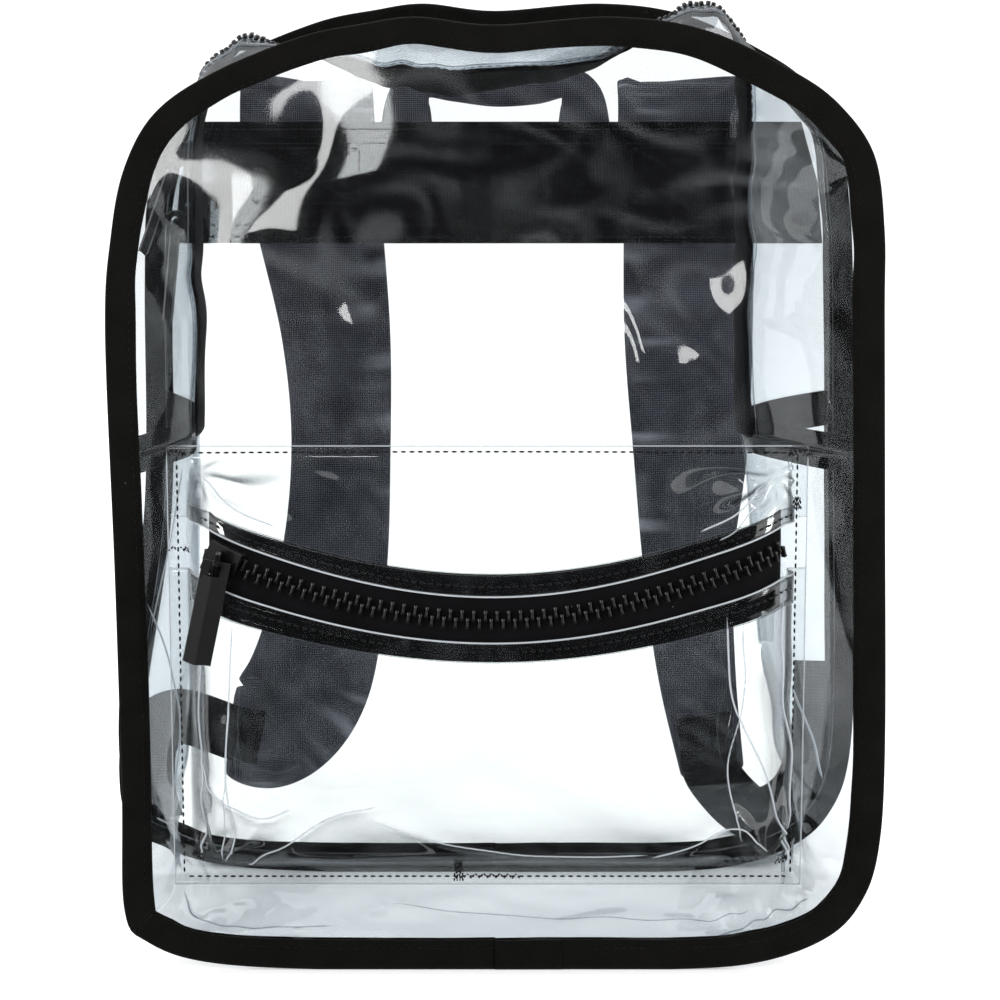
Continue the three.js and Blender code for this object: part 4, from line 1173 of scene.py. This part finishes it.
def inflate(made, pins, pressure, limit_mm, shrink):
    """Cloth blown up a little between its sewn edges, as foam fills a strap, and held within a limit."""
    rest = points_of(made.data)
    group = made.vertex_groups.new(name="sewn")
    group.add([int(i) for i in pins], 1.0, "REPLACE")
    cloth = made.modifiers.new("cloth", "CLOTH")
    cloth.settings.use_pressure = True
    cloth.settings.uniform_pressure_force = pressure
    cloth.settings.effector_weights.gravity = 0
    cloth.settings.vertex_group_mass = "sewn"
    cloth.settings.shrink_min = shrink
    cloth.settings.mass = 0.3
    cloth.settings.bending_stiffness = 0.3
    cloth.collision_settings.use_collision = False
    cloth.point_cache.frame_start, cloth.point_cache.frame_end = 1, SWELL_FRAMES
    for step in range(1, SWELL_FRAMES + 1):
        scene.frame_set(step)
    seen = made.evaluated_get(bpy.context.evaluated_depsgraph_get())
    way = points_of(seen.data) - rest
    made.modifiers.remove(cloth)
    scene.frame_set(1)
    far = np.linalg.norm(way, axis=1, keepdims=True)
    way = way * np.minimum(1, limit_mm / 1000 / np.maximum(far, 1e-9))
    made.data.vertices.foreach_set("co", (rest + way).ravel())
    made.data.update()


SEAM_FROM, SEAM_LENGTH = 0.12, 0.86  # of the stitches along a strap, as shares of it
ROW_ACROSS, ROW_UP = 0.42, 0.43  # where they lie, as shares of its width and thickness
PUCKER_LEAN = 0.12  # puckers run across a strap, so they change this much more slowly that way
WEBBING_UNDER = (STRAP_THICKNESS + WEBBING) / 2 + WEBBING_GAP


def shoulder_strap(name, side, strap_rows, webbing_rows, seed):
    path = curve(stack(
        side * (STRAP_SPACING / 2 + strap_rows[:, 0] * STRAP_WIDTH),
        YOKE_FACE + STRAP_SEWN / 2 + strap_rows[:, 1] * STRAP_REACH,
        strap_rows[:, 2] * YOKE_TOP,
    ))
    row = 1 / (len(strap_rows) - 1)
    width_share = column_of(strap_rows, 3)
    puckers, dents = ripples(seed, 9, spread=0.25), ripples(seed + 1, 45)
    length = length_along(path(np.linspace(0, 1, 300)))[-1]

    def wide(s):
        return STRAP_WIDTH * width_share(s)

    def thick(s):
        return STRAP_SEWN + (STRAP_THICKNESS - STRAP_SEWN) * smooth(s, row, 4 * row)

    def relief(s, x):
        rim = patch(np.abs(x), STRAP_WIDTH * 0.36, 9, 2)
        return rim * puckers(s * length, x * PUCKER_LEAN) - 0.5 + 0.35 * dents(s * length, x)

    def seam(way, face):
        def along(t):
            s = SEAM_FROM + t * SEAM_LENGTH
            p, a, out = frame_along(path, level_then_flat, s)
            a, out = a * (wide(s) * ROW_ACROSS)[..., None], out * (thick(s) * ROW_UP)[..., None]
            return p + a * way + out * face

        return along, lambda t: frame_along(path, level_then_flat, SEAM_FROM + t * SEAM_LENGTH)[2] * face

    def under(share):
        """A point of the webbing where it is sewn under the strap."""
        down = tangent(path, np.array([min(share, 1 - 1e-4)]))[0]
        out = np.cross(flat_on_back(down), down)
        return path(np.array([share]))[0] - out / np.linalg.norm(out) * WEBBING_UNDER

    made = loft(
        "shoulder_strap_%s_padded" % name, "shoulder_strap_" + name, STRAP_WEAVE, path, level_then_flat,
        wide, thick, 200, 40, 0.45, relief
    )
    at = points_of(made.data) * 1000 - np.array([CENTRE_X, CENTRE_Y, 0])
    fine = np.linspace(0, 1, 400)
    p, sides, _ = frame_along(path, level_then_flat, fine)
    nearest = np.argmin(((at[:, None] - p[None]) ** 2).sum(-1), axis=1)
    away, s = at - p[nearest], fine[nearest]
    off = np.abs((away * sides[nearest]).sum(-1)) / (wide(s) / 2)
    pins = np.nonzero((off > 0.9) | (s < 1.5 * row) | (s > 0.97))[0]
    # Painted highlight: lighter on the crests of the puckers towards the inner edge, and on the raised dents.
    inner = smooth(-side * away[:, 0] / (STRAP_WIDTH / 2), 0.2, 0.8)
    folds = smooth(puckers(s * length, away[:, 0] * PUCKER_LEAN), 0.5, 1.7)
    mark(made.data, "creases", inner * folds + 0.12 * smooth(dents(s * length, away[:, 0]), 0, 1.5))
    inflate(made, pins, 3.0, 2.0, -0.04)
    smoother = made.modifiers.new("smooth", "SUBSURF")
    smoother.levels = smoother.render_levels = 1
    runs = [seam(way, face) for way in (-1, 1) for face in (-1, 1)]
    stitches("shoulder_strap_%s_stitches" % name, runs, thick=0.45)

    sewn = WEBBING_SEWN / length
    hanging = stack(
        side * webbing_rows[:, 0] * WIDTH / 2,
        SEAM_FACE + WEBBING / 2 + webbing_rows[:, 1] * STRAP_REACH,
        webbing_rows[:, 2] * HEIGHT,
    )
    web = curve(np.vstack([[under(1 - sewn), under(1 - sewn / 2), under(1.0)], hanging]))
    loft(
        "strap_webbing_%s_band" % name, "strap_webbing_" + name, RIBBED_WEBBING, web, flat_on_back,
        lambda s: WEBBING_WIDTH + s * 0, lambda s: WEBBING + s * 0, 90, 24, 0.25
    )


shoulder_strap("right", 1, STRAP_RIGHT, WEBBING_RIGHT, 51)
shoulder_strap("left", -1, STRAP_LEFT, WEBBING_LEFT, 61)

handle_path = curve(stack(
    HANDLE[:, 0] * HANDLE_SPAN / 2,
    YOKE_FACE + HANDLE[0, 4] * HANDLE_THICKNESS / 2 + HANDLE[:, 1] * HANDLE_REACH,
    YOKE_TOP + HANDLE[:, 2] * HANDLE_RISE,
))
handle_wide, handle_thick = column_of(HANDLE, 3), column_of(HANDLE, 4)
made = loft(
    "haul_handle_rolled", "haul_handle", STRAP_WEAVE, handle_path, flat_on_back,
    lambda s: HANDLE_THICKNESS * handle_wide(s), lambda s: HANDLE_THICKNESS * handle_thick(s), 80, 28, 0.9
)

# Floor, lamps and camera

stage_white, tree = new_material("matt_white_paper", "clear_pvc")
paper = add(tree, "BsdfPrincipled", {
    "Base Color": linear("#fafafa"), "Roughness": 0.9, "Specular IOR Level": 0.1,
    "Emission Color": (1, 1, 1, 1), "Emission Strength": 0.3,
})
add(tree, "OutputMaterial", {"Surface": paper})


def card(name, half, material, place=Matrix.Identity(4)):
    """A flat square of the studio, not of the part. half is half of its side, in metres."""
    bm = bmesh.new()
    bmesh.ops.create_grid(bm, x_segments=1, y_segments=1, size=half, matrix=place)
    made = bpy.data.objects.new(name, mesh_of(bm, name))
    made.data.materials.append(material)
    scene.collection.objects.link(made)
    return made


card("floor", 60, stage_white)

world = bpy.data.worlds.new("studio")
scene.world = world
world.use_nodes = True
world.node_tree.nodes["Background"].inputs[0].default_value = (1, 1, 1, 1)
world.node_tree.nodes["Background"].inputs[1].default_value = 1.0


def lamp(name, azimuth, elevation, distance, wide, high, power):
    """A softbox turned to the bag. Azimuth 0 is the camera's side, and grows to the right."""
    data = bpy.data.lights.new(name, "AREA")
    data.shape = "RECTANGLE"
    data.size, data.size_y, data.energy = wide, high, power
    made = bpy.data.objects.new(name, data)
    a, e = math.radians(azimuth), math.radians(elevation)
    way = Vector((math.sin(a) * math.cos(e), -math.cos(a) * math.cos(e), math.sin(e)))
    made.location = Vector((0, 0, 0.2)) + way * distance
    made.rotation_euler = way.to_track_quat("Z", "Y").to_euler()
    made.visible_camera = False
    scene.collection.objects.link(made)


# Name, azimuth and elevation in degrees, distance, width and height in metres, watts.
for row in (
    ("softbox_left", -30, 24, 1.5, 0.3, 0.7, 7),
    ("softbox_right", 62, 18, 1.6, 0.25, 1.1, 7),
    ("strip_left", -9.6, 4, 1.95, 0.06, 0.6, 0.7),
    ("strip_middle", -4.4, 1, 1.95, 0.07, 0.16, 0.22),
    ("strip_right", 14, 8, 1.95, 0.05, 0.5, 0.45),
    ("softbox_top", 180, 60, 1.8, 1.2, 1.0, 12),
):
    lamp(*row)

# The sheet mirrors a dark room on the camera's side: black cards that only reflections meet.
card_black, tree = new_material("black_card", "binding_tape")
coating = add(tree, "BsdfPrincipled", {
    "Base Color": linear("#0a0a0a"), "Roughness": 0.9, "Specular IOR Level": 0.0,
})
add(tree, "OutputMaterial", {"Surface": coating})
for name, middle, turn, half in (
    ("black_card_behind_camera", (0, -2.6, 1.0), 90, 1.6),
    ("black_card_before_bag", (0, -1.57, 0.0004), 0, 1.5),
    ("black_card_overhead", (0, -1.9, 2.4), 0, 1.4),
):
    place = Matrix.Translation(middle) @ Matrix.Rotation(math.radians(turn), 4, "X")
    made = card(name, half, card_black, place)
    made.visible_camera = made.visible_shadow = made.visible_diffuse = False

CAMERA_LOOKS_DOWN = 11  # degrees
camera = bpy.data.objects.new("camera", bpy.data.cameras.new("camera"))
camera.data.lens = 115.45
camera.data.sensor_width = 36
camera.location = (0.00667, -1.3092, 0.4357)
camera.rotation_euler = (math.radians(90 - CAMERA_LOOKS_DOWN), 0, 0)
scene.collection.objects.link(camera)
scene.camera = camera
scene.view_settings.view_transform = "Standard"
cycles = scene.cycles
cycles.transparent_max_bounces = 32  # a line of sight can cross five double-skinned sheets and their hems
cycles.max_bounces, cycles.diffuse_bounces, cycles.glossy_bounces = 6, 2, 3
